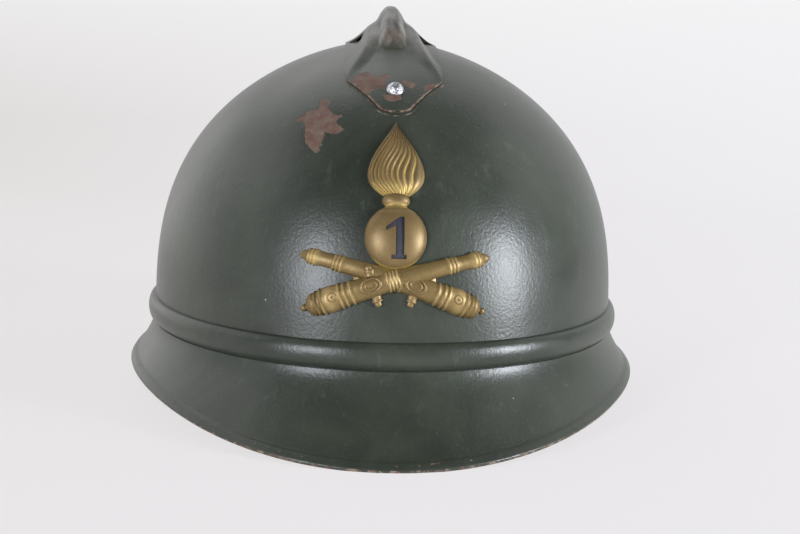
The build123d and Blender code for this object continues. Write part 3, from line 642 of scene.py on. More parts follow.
for vertex in crest.data.vertices:
    row = vertex.co.y
    y = crest_half_length * row
    half = crest_half_at(abs(y))
    x = half * vertex.co.x
    from_edge = min(half - abs(x), (crest_half_length - abs(y)) * end_wear_share)
    edges.append((from_edge + max(plate_start - abs(y), 0)) / mm)
    chips.append(min(outline_distance((x / mm, y / mm), list(chip)) for chip in plate_chips))
    high = crest_height(x, y)
    raised, forward = ease(0.5 * mm, 6.5 * mm, high), ease(26 * mm, 40 * mm, abs(y))
    worn.append(raised * forward + ridge_wear * ease(9 * mm, 13 * mm, high))
    vertex.co = (x, y, dome_z(x, y) + crest_gap + sheet + high)
store(crest, "edge_mm", edges)
store(crest, "chip_mm", chips)
store(crest, "worn", [min(value, 1) for value in worn])
mode("EDIT")
bpy.ops.mesh.select_mode(type="FACE")
mode("OBJECT")
for face in crest.data.polygons:
    xs = [abs(crest.data.vertices[i].co.x) for i in face.vertices]
    ys = [abs(crest.data.vertices[i].co.y) for i in face.vertices]
    face.select = min(ys) < mouth_y + mouth_slack and max(ys) > mouth_y and mouth_inner < sum(xs) / 4 < mouth_outer
mode("EDIT")
bpy.ops.mesh.delete(type="FACE")
mode("OBJECT")
apply_modifier(crest, "SOLIDIFY", thickness=sheet, offset=-1, use_even_offset=False)
smooth(50)
crest_paint = olive_enamel("olive_enamel_on_crest", "chip_mm", (("edge_mm", 0.0, 0.55, 0.74),), "worn")
finish(crest, crest_paint, "root", "olive_paint", "crest")

# Crest rivets
# Two soft round-headed rivets hold the crest's plates to the skull. Their heads are hammered and bright, and
# their tails are spread on the inside of the shell.
rivet_y, head_radius, head_height, head_seat = 76.6 * mm, 3.4 * mm, 2.7 * mm, 0.12 * mm
shank_radius, tail_radius, tail_height = 1.5 * mm, 2.9 * mm, 0.9 * mm
rim_height, crown_lift, head_steps, tail_rise, tail_top = 0.15 * mm, 0.12 * mm, 9, 0.6, 0.7
# Soft steel, hammered: small bright facets with grey dirt in the marks between them.
bright, tree = new_finish("hammered_soft_steel")
place = node(tree, "TexCoord").outputs["Object"]
facet = node(tree, "TexVoronoi", {"Vector": place, "Scale": 1 / (1.5 * mm)}, distance="CHEBYCHEV")
scratch = node(tree, "TexNoise", {"Vector": place, "Scale": 1 / (0.6 * mm), "Detail": 4.0})
dirt = node(tree, "MapRange", {0: scratch, 1: 0.36, 2: 0.55})
shade = node(tree, "Mix", {0: dirt, 6: linear("#6a6b6e"), 7: linear("#e8e9ec")}, data_type="RGBA")
bump = node(tree, "Bump", {"Strength": 0.9, "Distance": 0.45 * mm, "Height": facet})
bump = node(tree, "Bump", {"Strength": 0.4, "Distance": 0.08 * mm, "Height": scratch, "Normal": bump})
metal = node(tree, "BsdfPrincipled", {"Base Color": shade, "Metallic": 0.85, "Roughness": 0.34, "Normal": bump})
node(tree, "OutputMaterial", {0: metal})


def join(pieces, name):
    """Makes one piece of several, kept in the first of them."""
    hold(*pieces)
    bpy.ops.object.join()
    pieces[0].name = name
    return pieces[0]


def seat_matrix(x, y, lift=0.0):
    """Place on the skull, Z outwards."""
    z = dome_z(x, y)
    out = dome_normal(x, y, z)
    side = Vector((0, 1, 0)).cross(out) if abs(x) < abs(y) else Vector((1, 0, 0)).cross(out)
    side = side.normalized()
    turned = Matrix([side, out.cross(side), out]).transposed().to_4x4()
    return Matrix.Translation(Vector((x, y, z)) + out * lift) @ turned


rivets = []
for side in (-1, 1):
    deselect()
    bpy.ops.mesh.primitive_circle_add(vertices=40, radius=head_radius)
    rivet = bpy.context.object
    mode("EDIT")
    ball = (head_radius ** 2 + head_height ** 2) / (2 * head_height)
    rows = [(head_radius, 0.0), (head_radius, rim_height)]
    for step in range(1, head_steps):
        z = head_height * math.sin(math.pi / 2 * step / head_steps)
        rows.append((math.sqrt(ball ** 2 - (ball - head_height + z) ** 2), z + crown_lift))
    raise_rings(rows)
    bpy.ops.mesh.edge_face_add()
    bpy.ops.mesh.select_all(action="DESELECT")
    mode("OBJECT")
    for vertex in rivet.data.vertices:
        vertex.select = abs(vertex.co.z) < 0.01 * mm
    mode("EDIT")
    bpy.ops.mesh.select_mode(type="EDGE")
    seat_low = -(crest_gap + 2 * sheet + 2 * head_seat)
    raise_rings([(head_radius, 0.0), (shank_radius, 0.0), (shank_radius, seat_low), (tail_radius, seat_low),
                 (tail_radius, seat_low - tail_rise * tail_height), (tail_top * tail_radius, seat_low - tail_height)])
    bpy.ops.mesh.edge_face_add()
    face_out()
    rivet.data.transform(seat_matrix(0, side * rivet_y, crest_gap + sheet + head_seat))
    smooth(35)
    rivets.append(rivet)
finish(join(rivets, "crest_rivet_pair"), bright, "root", "rivet_steel", "crest_rivets")

# Badge
# A flaming grenade over two crossed gun barrels, the mark of gunners, stamped in one piece of thin brass. The
# figure sunk in the ball is painted black, and age has browned the brass. Painted highlights, along with bright metal,
# make the flame's grooves, the ball's lower rim and its neck yellow, and painted shade, along with dark patina, darkens
# the hollows between the barrels' rings.
ball_radius, ball_relief, ball_middle = 11 * mm, 4.8 * mm, 74.6 * mm
flame_low, flame_high = 88.6 * mm, 114.3 * mm
flame_relief, ridge_relief, ridge_count, neck_height = 3.3 * mm, 0.62 * mm, 10, 85 * mm
barrel_length, barrel_ends, barrel_relief_share = 68.6 * mm, ((-32.6 * mm, 48.2 * mm), (33.3 * mm, 67.7 * mm)), 0.70
barrel_arch, front_lift, rear_lift = 2.2 * mm, 0.9 * mm, 0.0


def front_point(x, z, lift):
    """Point on the face side of the skull, moved out by a lift."""
    level = (1 - ((z - seam_height) / dome_height) ** fullness) ** (1 / roundness)
    y = -half_length * math.sqrt(max(level ** 2 - (x / half_width) ** 2, 0))
    return Vector((x, y, z)) + dome_normal(x, y, z) * lift


# Stamped brass, aged: half metal and half brown crust, bright yellow where its metal is fresh and where highlights are
# painted, and dark where grime lies and where shade is painted.
brass, tree = new_finish("aged_stamped_brass")
place = node(tree, "TexCoord").outputs["Object"]
blotch = node(tree, "TexNoise", {"Vector": place, "Scale": 1 / (7 * mm), "Detail": 5.0, "Roughness": 0.65})
grain = node(tree, "TexNoise", {"Vector": place, "Scale": 1 / (0.5 * mm), "Detail": 3.0})
brown = node(tree, "MapRange", {0: blotch, 1: 0.34, 2: 0.68})
aged = node(tree, "Mix", {0: brown, 6: linear("#937a4c"), 7: linear("#b09667")}, data_type="RGBA")
fresh_and_highlight = node(tree, "Attribute", attribute_name="fresh_and_highlight")
speck = node(tree, "MapRange", {0: grain, 1: 0.30, 2: 0.62, 3: 0.35, 4: 1.0})
shown = node(tree, "Math", {0: fresh_and_highlight.outputs["Fac"], 1: speck}, operation="MULTIPLY")
grime_and_shade = node(tree, "Attribute", attribute_name="grime_and_shade")
browned_and_shaded = node(tree, "MapRange", {0: grime_and_shade.outputs["Fac"], 4: 0.8})
aged = node(tree, "Mix", {0: browned_and_shaded, 6: aged, 7: linear("#5c4526")}, data_type="RGBA")
tone = node(tree, "Mix", {0: shown, 6: aged, 7: linear("#e6c467")}, data_type="RGBA")
dull = node(tree, "MapRange", {0: shown, 3: 0.50, 4: 0.32})
bump = node(tree, "Bump", {"Strength": 0.25, "Distance": 0.06 * mm, "Height": grain})
metal = node(tree, "BsdfPrincipled", {"Base Color": tone, "Metallic": 1.0, "Roughness": dull, "Normal": bump})
crust_tone = node(tree, "Mix", {0: blotch, 6: linear("#67533a"), 7: linear("#9a8460")}, data_type="RGBA")
crust_tone = node(tree, "Mix", {0: browned_and_shaded, 6: crust_tone, 7: linear("#4a381f")}, data_type="RGBA")
crust_tone = node(tree, "Mix", {0: shown, 6: crust_tone, 7: linear("#e6cb74")}, data_type="RGBA")
crust = node(tree, "BsdfPrincipled", {"Base Color": crust_tone, "Roughness": 0.42, "Normal": bump})
crusted = node(tree, "MapRange", {0: shown, 3: 0.60, 4: 0.50})
skin = node(tree, "MixShader", {0: crusted, 1: metal, 2: crust})
node(tree, "OutputMaterial", {0: skin})

# Brushed black paint, thin and dusty, with a faint blue.
ink, tree = new_finish("black_paint_in_recess")
place = node(tree, "TexCoord").outputs["Object"]
mottle = node(tree, "TexNoise", {"Vector": place, "Scale": 1 / (1.2 * mm), "Detail": 4.0})
shade = node(tree, "Mix", {0: mottle, 6: linear("#222228"), 7: linear("#4c4b53")}, data_type="RGBA")
bump = node(tree, "Bump", {"Strength": 0.4, "Distance": 0.1 * mm, "Height": mottle})
paint = node(tree, "BsdfPrincipled", {"Base Color": shade, "Roughness": 0.45, "Normal": bump})
node(tree, "OutputMaterial", {0: paint})

badge_pieces, plain_fresh, wear_and_highlight_band, barrel_fresh, ring_wear_and_highlight = [], 0.1, 0.45, 0.16, 0.22
plain_grime, most_grime, edge_sunk = 0.3, 0.75, 0.05 * mm


def lathe(name, profile, step, columns=40):
    """A turned form about the Z axis, its front half only, from a table of places and radii in mm."""
    deselect()
    places = [profile[0][0] * mm]
    for (start, _), (end, _) in zip(profile, profile[1:]):
        parts = max(3 if end - start < 1.2 else 1, math.ceil((end - start) * mm / step))
        places += [(start + (end - start) * part / parts) * mm for part in range(1, parts + 1)]

    def radius(place):
        return follow(profile, place / mm) * mm

    bpy.ops.mesh.primitive_circle_add(vertices=columns, radius=radius(places[0]), location=(0, 0, places[0]))
    piece = bpy.context.object
    piece.name = name
    mode("EDIT")
    raise_rings([(radius(place), place) for place in places])
    bpy.ops.mesh.select_all(action="SELECT")
    bpy.ops.mesh.bisect(plane_co=(0, 0, 0), plane_no=(0, 1, 0), clear_outer=True)
    face_out()
    bpy.ops.object.transform_apply(location=True)
    badge_pieces.append(piece)
    return piece


ball_profile = []
for degrees in range(4, 136, 6):
    swing = math.radians(degrees)
    ball_profile.append(((ball_middle - ball_radius * math.cos(swing)) / mm, ball_radius * math.sin(swing) / mm))
neck_profile = [(83.2, 6.85), (83.7, 6.1), (84.1, 5.3), (84.5, 4.4), (84.9, 3.9), (85.3, 3.8), (85.6, 4.1), (85.9, 4.5),
                (86.4, 4.9), (87.0, 5.0), (87.6, 4.95), (88.2, 4.6), (88.8, 3.9), (89.2, 3.2)]
grenade = lathe("grenade", ball_profile + neck_profile, 0.6 * mm, columns=96)
numeral = [(2.7, 6.9), (2.7, -5.5), (3.6, -5.5), (3.6, -6.85), (-1.5, -6.85), (-1.5, -5.5), (-0.1, -5.5),
           (-0.1, 3.9), (-3.4, 2.3), (-3.4, 3.5), (1.3, 6.9)]
numeral_middle = 74.0
deselect()
bpy.ops.mesh.primitive_circle_add(vertices=len(numeral), radius=ball_radius, fill_type="NGON")
cutter = bpy.context.object
for vertex, (x, z) in zip(cutter.data.vertices, numeral):
    vertex.co = (x * mm, 0, (z + numeral_middle) * mm)
mode("EDIT")
bpy.ops.mesh.select_all(action="SELECT")
bpy.ops.mesh.extrude_region_move(TRANSFORM_OT_translate={"value": (0, -2 * ball_radius, 0)})
face_out()
numeral_depth = 1.1 * mm
deselect()
bpy.ops.mesh.primitive_uv_sphere_add(segments=96, ring_count=48, radius=ball_radius - numeral_depth,
                                     location=(0, 0, ball_middle))
cut(cutter, bpy.context.object)
cutter.data.materials.clear()
cutter.data.materials.append(ink)
grenade.data.materials.append(brass)
apply_modifier(grenade, "SOLIDIFY", thickness=2 * numeral_depth, offset=-1)
cut(grenade, cutter, material_mode="TRANSFER")
neck_low, neck_high, neck_relief, rim_low, rim_high = 82 * mm, 85.5 * mm, 0.2, 65 * mm, 69 * mm
fresh_and_highlight = []
for vertex in grenade.data.vertices:
    x, y, z = vertex.co
    share = ball_relief / ball_radius + neck_relief * ease(neck_low, neck_high, z)
    from_rim = ball_radius - math.hypot(x, z - ball_middle)
    # Bright yellow on the ball's lower rim, partly worn metal and partly painted highlight, and a painted highlight
    # round the neck under the collar.
    low = 1 - ease(rim_low, rim_high, z)
    neck = wear_and_highlight_band * (1 - ease(0.5 * mm, 1.5 * mm, abs(z - neck_height)))
    fresh_and_highlight.append(max(low * (1 - ease(0.15 * mm, 1.1 * mm, from_rim)), neck, plain_fresh))
    vertex.co = front_point(x, z, max(-y, -0.1 * mm) * share)
store(grenade, "fresh_and_highlight", fresh_and_highlight)
store(grenade, "grime_and_shade", [most_grime * (1 - value) for value in fresh_and_highlight])

barrel_profile = [
    (0.000, 0.1), (0.004, 0.75), (0.010, 1.15), (0.018, 1.25), (0.025, 1.1), (0.030, 0.8), (0.034, 0.9),
    (0.038, 1.8), (0.043, 2.55), (0.049, 3.15), (0.056, 3.65), (0.064, 4.0), (0.072, 4.2), (0.079, 4.1),
    (0.083, 4.0), (0.094, 4.6), (0.103, 4.2),
    (0.109, 4.2), (0.120, 4.85), (0.130, 4.45), (0.145, 4.7), (0.165, 4.75), (0.205, 4.40), (0.215, 4.7),
    (0.224, 4.2), (0.230, 4.2), (0.240, 4.55), (0.250, 4.1), (0.262, 4.1), (0.272, 4.45), (0.283, 4.0),
    (0.300, 4.0), (0.450, 3.55), (0.460, 3.85), (0.4685, 3.45), (0.477, 3.8), (0.4855, 3.4), (0.494, 3.75),
    (0.5025, 3.35), (0.511, 3.7), (0.520, 3.3), (0.540, 3.3), (0.765, 2.8), (0.777, 3.1), (0.787, 2.7),
    (0.797, 3.0), (0.806, 2.65), (0.815, 2.95), (0.826, 2.55), (0.885, 2.52), (0.905, 2.75), (0.917, 3.0),
    (0.926, 2.65), (0.935, 2.95), (0.944, 2.55), (0.953, 2.75), (0.962, 2.1), (0.975, 1.6), (0.988, 1.35),
    (0.996, 0.8), (1.000, 0.1),
]
barrel_profile = [(share * barrel_length / mm, radius) for share, radius in barrel_profile]


def barrel_radius(along):
    """Radius of a barrel without its rings."""
    return follow([(0.0, 4.7), (0.2, 4.4), (0.3, 4.0), (0.45, 3.55), (0.765, 2.8), (0.88, 2.52), (1.0, 2.4)],
                  along / barrel_length) * mm


def on_barrel(side, lift, along, across, height):
    """Point on the skull over a barrel: its place along and across it, and its height over the middle plane."""
    (start_x, start_z), (end_x, end_z) = barrel_ends
    share = along / barrel_length
    run = Vector((end_x - start_x, end_z - start_z)).normalized()
    x = start_x + (end_x - start_x) * share - run.y * across
    z = start_z + (end_z - start_z) * share + run.x * across
    z += barrel_arch * max(1 - (x / barrel_ends[1][0]) ** 2, 0)
    return front_point(side * x, z, lift + height)


def press(piece, side, lift, spot=None, turned=False):
    """Bends a piece of a barrel to the skull. A piece with a spot is seated on the barrel's skin there."""
    for vertex in piece.data.vertices:
        x, y, z = vertex.co
        if spot is None:
            along, across, height = (turned + x, z, -y) if turned else (z, x, -y)
            height = height * barrel_relief_share
        else:
            along, across = spot[0] + x, spot[1] + y
            radius = barrel_radius(along)
            height = barrel_relief_share * math.sqrt(max(radius ** 2 - across ** 2, 0)) + z
        vertex.co = on_barrel(side, lift, along, across, height)
    if side < 0:
        hold(piece)
        mode("EDIT")
        bpy.ops.mesh.select_all(action="SELECT")
        bpy.ops.mesh.flip_normals()
        mode("OBJECT")


trunnion_profile = [(-7.4, 0.1), (-7.3, 0.8), (-6.9, 1.15), (-5.9, 1.2), (-5.75, 1.25), (-5.6, 1.75), (-5.2, 1.85),
                    (-4.8, 1.6), (-4.2, 1.6), (-3.6, 1.75), (-2.4, 2.2), (-1.0, 2.5)]
trunnion_place, trunnion_lift_share, upper_trunnion_lift, upper_trunnion_start = 26.2 * mm, 0.5, 1.9 * mm, -3.5
handle_rings = ((3.4, 0.55, 0.72), (2.0, 0.40, 0.60))
vent_rings = ((1.35, 0.40, 1.0),)
for side, lift, handle_place, vent_place in ((-1, rear_lift, (26.6 * mm, 0.4 * mm), (11.3 * mm, 0.7 * mm)),
                                             (1, front_lift, (25.6 * mm, 0.5 * mm), (12.2 * mm, 0.5 * mm))):
    barrel = lathe("barrel", barrel_profile, 1.4 * mm)
    # Painted shade, along with dark patina, browns the hollows between the rings. The rings' tops are brighter yellow,
    # partly rubbed metal and partly painted highlight.
    proud = [math.hypot(v.co.x, v.co.y) - barrel_radius(v.co.z) for v in barrel.data.vertices]
    store(barrel, "grime_and_shade", [1 - ease(-0.15 * mm, 0.3 * mm, value) for value in proud])
    store(barrel, "fresh_and_highlight", [barrel_fresh + ring_wear_and_highlight * ease(0.15 * mm, 0.4 * mm, value) for value in proud])
    press(barrel, side, lift)
    trunnion = lathe("trunnion", trunnion_profile, 0.5 * mm, columns=28)
    press(trunnion, side, lift * trunnion_lift_share, turned=trunnion_place)
    if side > 0:
        stub = [(-place, radius) for place, radius in reversed(trunnion_profile) if place < upper_trunnion_start]
        upper = lathe("trunnion", stub, 0.5 * mm, columns=28)
        press(upper, side, upper_trunnion_lift, turned=trunnion_place)
    for spot, rings in ((handle_place, handle_rings), (vent_place, vent_rings)):
        for major, minor, squeeze in rings:
            deselect()
            bpy.ops.mesh.primitive_torus_add(major_segments=56, minor_segments=12, major_radius=major * mm,
                                             minor_radius=minor * mm)
            ring = bpy.context.object
            mode("EDIT")
            bpy.ops.transform.resize(value=(1, squeeze, 1))
            mode("OBJECT")
            press(ring, side, lift, spot)
            badge_pieces.append(ring)
    deselect()
    bpy.ops.mesh.primitive_uv_sphere_add(segments=16, ring_count=10, radius=0.5 * mm)
    dot = bpy.context.object
    press(dot, side, lift, vent_place)
    badge_pieces.append(dot)

web = grid("web", 60, 24)
web_half, web_rise, web_middle, web_lift, web_taper = 14.6 * mm, 4.2 * mm, 60.2 * mm, 0.55 * mm, 0.35
for vertex in web.data.vertices:
    across, up = vertex.co.x, vertex.co.y
    edge = max(abs(across), abs(up))
    x = web_half * across
    z = web_middle + web_rise * up * (1 - web_taper * across ** 2)
    vertex.co = front_point(x, z, web_lift * (1 - ease(0.9, 1.0, edge)) - edge_sunk)
badge_pieces.append(web)

flame = grid("flame", 150, 130)
flame_halves = [(0.0, 4.6), (0.04, 6.2), (0.10, 8.1), (0.19, 9.8), (0.30, 10.25), (0.44, 9.4), (0.575, 7.7),
                (0.709, 5.35), (0.80, 3.6), (0.888, 1.95), (0.96, 0.75), (1.0, 0.12)]
flame_heights = [(0.0, 0.62), (0.12, 0.9), (0.3, 1.0), (0.5, 0.92), (0.7, 0.7), (0.88, 0.42), (1.0, 0.12)]
sway, sway_power, sway_length, side_power, side_round = 0.36, 0.85, 1.18, 2.2, 0.6
side_fade, tip_fade, ridge_power, ridge_level = 6, 0.86, 0.6, 0.8
fresh_and_highlight = []
for vertex in flame.data.vertices:
    across, up = vertex.co.x, (vertex.co.y + 1) / 2
    bend = sway * math.sin(2 * math.pi * (up ** sway_power) / sway_length) * (1 - across ** 2)
    wave = abs(math.sin(math.pi * ridge_count / 2 * (across + bend)))
    x = smooth_follow(flame_halves, up) * mm * across
    z = flame_low + (flame_high - flame_low) * up
    crown = flame_relief * smooth_follow(flame_heights, up)
    lift = crown * (1 - abs(across) ** side_power) ** side_round
    fade = min(1, side_fade * (1 - abs(across))) * (1 - ease(tip_fade, 1.0, up))
    lift += ridge_relief * (wave ** ridge_power - ridge_level) * fade
    # Painted highlight, along with bright metal: the grooves between the ridges and a band at the flame's foot are made
    # yellow.
    foot = wear_and_highlight_band * (1 - ease(0.02, 0.2, up))
    fresh_and_highlight.append(max((1 - ease(0.1, 0.48, wave)) * fade, foot) + 0.05)
    vertex.co = front_point(x, z, lift if abs(across) < 0.999 else -edge_sunk)
store(flame, "fresh_and_highlight", fresh_and_highlight)
store(flame, "grime_and_shade", [max(most_grime - value, 0) for value in fresh_and_highlight])
badge_pieces.append(flame)
for piece in badge_pieces:
    for name, value in (("fresh_and_highlight", plain_fresh), ("grime_and_shade", plain_grime)):
        if name not in piece.data.attributes:
            store(piece, name, [value] * len(piece.data.vertices))
    if not piece.data.materials:
        piece.data.materials.append(brass)
join(badge_pieces, "brass_badge")
smooth(42)
finish(grenade, brass, "root", "badge_brass", "badge")

# Liner felt
# A band of grey wool felt lies behind the leather, between it and the spacers, and softens knocks.
liner_gap, leather, band_bottom, band_top, crown_height = 11 * mm, 1.8 * mm, 31 * mm, 56 * mm, 122 * mm
felt, felt_gap, felt_margin, felt_columns, felt_rows = 2.4 * mm, 0.2 * mm, 2 * mm, 240, 12
ragged_run, ragged_depth = 3 * mm, 0.5 * mm
liner_radius = half_width - liner_gap
felt_radius = liner_radius + felt_gap + felt
# Pressed wool felt: matt and hairy, with the dust of years. Its hairs are drawn as coarse as they need to show.
wool, tree = new_finish("grey_wool_felt")
place = node(tree, "TexCoord").outputs["Object"]
fibre = node(tree, "TexNoise",
             {"Vector": place, "Scale": 1 / (0.5 * mm), "Detail": 6.0, "Roughness": 0.75, "Distortion": 2.2})
patchy = node(tree, "TexNoise", {"Vector": place, "Scale": 1 / (14 * mm), "Detail": 3.0})
mixed = node(tree, "Math", {0: fibre, 1: patchy}, operation="ADD")
tone = node(tree, "MapRange", {0: mixed, 1: 0.75, 2: 1.25})
grey = node(tree, "Mix", {0: tone, 6: linear("#5b554c"), 7: linear("#8c8578")}, data_type="RGBA")
bump = node(tree, "Bump", {"Strength": 0.9, "Distance": 0.4 * mm, "Height": fibre})
nap = node(tree, "BsdfPrincipled", {"Base Color": grey, "Roughness": 0.95, "Sheen Weight": 0.35, "Normal": bump})
node(tree, "OutputMaterial", {0: nap})
felt_bottom = band_bottom + felt_margin
rows = [(felt_radius, felt_bottom + (band_top - felt_bottom) * step / felt_rows) for step in range(felt_rows + 1)]
band = oval_wall("felt_band", felt_columns, rows)
face_out()
bpy.ops.object.transform_apply(location=True)
for vertex in band.data.vertices:
    around = math.atan2(vertex.co.y, vertex.co.x)
    near_edge = ease(band_top - ragged_run, band_top, vertex.co.z)
    vertex.co.z -= near_edge * ragged_depth * (1 + math.sin(around * 11) * math.sin(around * 4 + 1))
apply_modifier(band, "SOLIDIFY", thickness=felt, offset=-1)
apply_modifier(band, "BEVEL", width=0.7 * mm, segments=2, limit_method="ANGLE")
smooth(50)
finish(band, wool, "root", "liner_felt", "liner_felt")

# Leather liner
# A sweatband and seven tongues cut in one piece of sheepskin, drawn together over the crown by a lace. Two rows
# of stitches run round the band.
tongue_count, slit_above_band, slit_half, slit_reach, gap_half = 7, 4 * mm, 0.8 * mm, 4 * mm, 5 * mm
eyelet_radius, eyelet_spacing, lace_ring_margin, crown_share = 2.2 * mm, 8.4 * mm, 6.2 * mm, 0.965
tongue_bow, bow_run, bow_dip, liner_columns, band_rows, crown_rows = 1.3 * mm, 25 * mm, 0.6, 280, 8, 40
cut_depth, eyelet_depth, slit_dark, slit_pale, foot_pale = 10 * mm, 16 * mm, 0.3 * mm, 2.0 * mm, 1.2 * mm


def tanned(name, dark, light, rough, pore):
    """Leather: creased and pored, darker where it is handled, with an attribute for its cut edges."""
    made, tree = new_finish(name)
    place = node(tree, "TexCoord").outputs["Object"]
    stain = node(tree, "TexNoise", {"Vector": place, "Scale": 1 / (16 * mm), "Detail": 5.0, "Roughness": 0.6})
    pores = node(tree, "TexVoronoi", {"Vector": place, "Scale": 1 / pore})
    crease = node(tree, "TexNoise",
                  {"Vector": place, "Scale": 1 / (3.2 * mm), "Detail": 6.0, "Roughness": 0.7, "Distortion": 1.4})
    tone = node(tree, "MapRange", {0: stain, 1: 0.32, 2: 0.68})
    hide = node(tree, "Mix", {0: tone, 6: linear(dark), 7: linear(light)}, data_type="RGBA")
    edge = node(tree, "Attribute", attribute_name="edge")
    burnt = node(tree, "Math", {0: edge.outputs["Fac"], 1: 0.75}, operation="MULTIPLY")
    hide = node(tree, "Mix", {0: burnt, 6: hide, 7: linear("#1d130c")}, data_type="RGBA")
    crack = node(tree, "MapRange", {0: crease, 1: 0.60, 2: 0.70, 4: 0.35})
    hide = node(tree, "Mix", {0: crack, 6: hide, 7: linear("#241910")}, data_type="RGBA")
    bump = node(tree, "Bump", {"Strength": 0.5, "Distance": 0.10 * mm, "Height": pores})
    bump = node(tree, "Bump", {"Strength": 0.5, "Distance": 0.35 * mm, "Height": crease, "Normal": bump})
    sheen = node(tree, "MapRange", {0: stain, 1: 0.3, 2: 0.7, 3: rough, 4: rough + 0.15})
    shader = node(tree, "BsdfPrincipled", {"Base Color": hide, "Roughness": sheen, "Normal": bump})
    node(tree, "OutputMaterial", {0: shader})
    return made


def liner_z(radius):
    return band_top + (crown_height - band_top) * (1 - (radius / liner_radius) ** roundness) ** (1 / fullness)


def oval_point(radius, angle, z=0.0):
    return Vector((radius * math.cos(angle), stretch * radius * math.sin(angle), z))


crown_radius = liner_radius * (1 - crown_share ** fullness) ** (1 / roundness)
lace_ring_radius = crown_radius + lace_ring_margin
tongue_angles = [math.pi / 2 + math.tau * (index + 0.5) / tongue_count for index in range(tongue_count)]
liner_hide = tanned("dark_sheepskin_liner", "#3a2a1e", "#54402e", 0.50, 0.9 * mm)
rows = [(liner_radius, band_bottom + (band_top - band_bottom) * step / band_rows) for step in range(band_rows + 1)]
last = math.asin(crown_share ** (fullness / 2))
for step in range(1, crown_rows + 1):
    angle = last * step / crown_rows
    rows.append((liner_radius * math.cos(angle) ** (2 / roundness),
                 band_top + (crown_height - band_top) * math.sin(angle) ** (2 / fullness)))
liner = oval_wall("leather_liner", liner_columns, rows)
face_out()
bpy.ops.object.transform_apply(location=True)


def off_tongue(x, y):
    """Angle between a point and the middle of the tongue that it is on."""
    around = math.atan2(y / stretch, x)
    return min(abs((around - angle + math.pi) % math.tau - math.pi) for angle in tongue_angles)


for vertex in liner.data.vertices:
    x, y, z = vertex.co
    across = off_tongue(x, y) / (math.pi / tongue_count)
    radius = math.hypot(x, y / stretch)
    rise = ease(band_top, band_top + bow_run, z) * ease(lace_ring_radius, lace_ring_radius + bow_run, radius)
    inwards = Vector((-x, -y, -bow_dip * math.hypot(x, y) * (z - band_top) / crown_height)).normalized()
    vertex.co += inwards * tongue_bow * rise * (1 - across ** 2)
apply_modifier(liner, "SOLIDIFY", thickness=leather, offset=-1)
cutters = []
for angle in tongue_angles:
    between = angle + math.pi / tongue_count
    root, tip = oval_point(liner_radius + slit_reach, between), oval_point(crown_radius - slit_reach, between)
    side = (tip - root).normalized().cross(Vector((0, 0, 1)))
    low, high = band_top + slit_above_band, crown_height + cut_depth
    corners = [root + side * slit_half, tip + side * gap_half, tip - side * gap_half, root - side * slit_half]
    deselect()
    bpy.ops.mesh.primitive_cube_add(size=1)
    cutter = bpy.context.object
    for vertex in cutter.data.vertices:
        across, along, up = vertex.co
        corner = corners[(0 if across > 0 else 3) if along < 0 else (1 if across > 0 else 2)]
        vertex.co = Vector((corner.x, corner.y, high if up > 0 else low))
    cutters.append(cutter)
    for swing in (-1, 1):
        turn = swing * eyelet_spacing / 2 / lace_ring_radius
        spot = oval_point(lace_ring_radius, angle + turn, liner_z(lace_ring_radius))
        deselect()
        bpy.ops.mesh.primitive_cylinder_add(vertices=24, radius=eyelet_radius, depth=eyelet_depth, location=spot)
        cutters.append(bpy.context.object)
join(cutters, "liner_cutter")
bpy.ops.object.transform_apply(location=True)
face_out()
cut(liner, cutters[0])
apply_modifier(liner, "BEVEL", width=0.3 * mm, segments=2, limit_method="ANGLE", angle_limit=math.radians(55))
hold(liner)
smooth(45)
edge = []
for vertex in liner.data.vertices:
    x, y, z = vertex.co
    spare = (math.pi / tongue_count - off_tongue(x, y)) * math.hypot(x, y / stretch) - slit_half
    near = 1 - ease(slit_dark, slit_pale, spare) if z > band_top + slit_above_band else 0
    edge.append(max(near, 1 - ease(0, foot_pale, z - band_bottom)))
store(liner, "edge", edge)
finish(liner, liner_hide, "root", "liner_leather", "liner_leather")

# Waxed linen thread: pale and a little shiny. Its strands are drawn as coarse as they need to show.
thread, tree = new_finish("waxed_linen_thread")
place = node(tree, "TexCoord").outputs["Object"]
strand = node(tree, "TexNoise", {"Vector": place, "Scale": 1 / (0.25 * mm), "Detail": 3.0})
tone = node(tree, "Mix", {0: strand, 6: linear("#7d6a4c"), 7: linear("#c3b18c")}, data_type="RGBA")
bump = node(tree, "Bump", {"Strength": 0.8, "Distance": 0.12 * mm, "Height": strand})
waxed = node(tree, "BsdfPrincipled", {"Base Color": tone, "Roughness": 0.6, "Normal": bump})
node(tree, "OutputMaterial", {0: waxed})


def stitches(name, places, length):
    """Stitches, each a short thread lying along a direction, with its ends sunk in the leather."""
    deselect()
    bpy.ops.mesh.primitive_uv_sphere_add(segments=8, ring_count=5, radius=1)
    one = bpy.context.object
    bpy.ops.object.shade_smooth()
    copies = []
    for spot, along, out in places:
        across = out.cross(along).normalized()
        turned = Matrix([along * length / 2, across * thread_half, out * thread_half]).transposed().to_4x4()
        copy = one.copy()
        copy.data = one.data.copy()
        copy.data.transform(Matrix.Translation(spot) @ turned)
        bpy.context.collection.objects.link(copy)
        copies.append(copy)
    bpy.data.objects.remove(one)
    return join(copies, name)


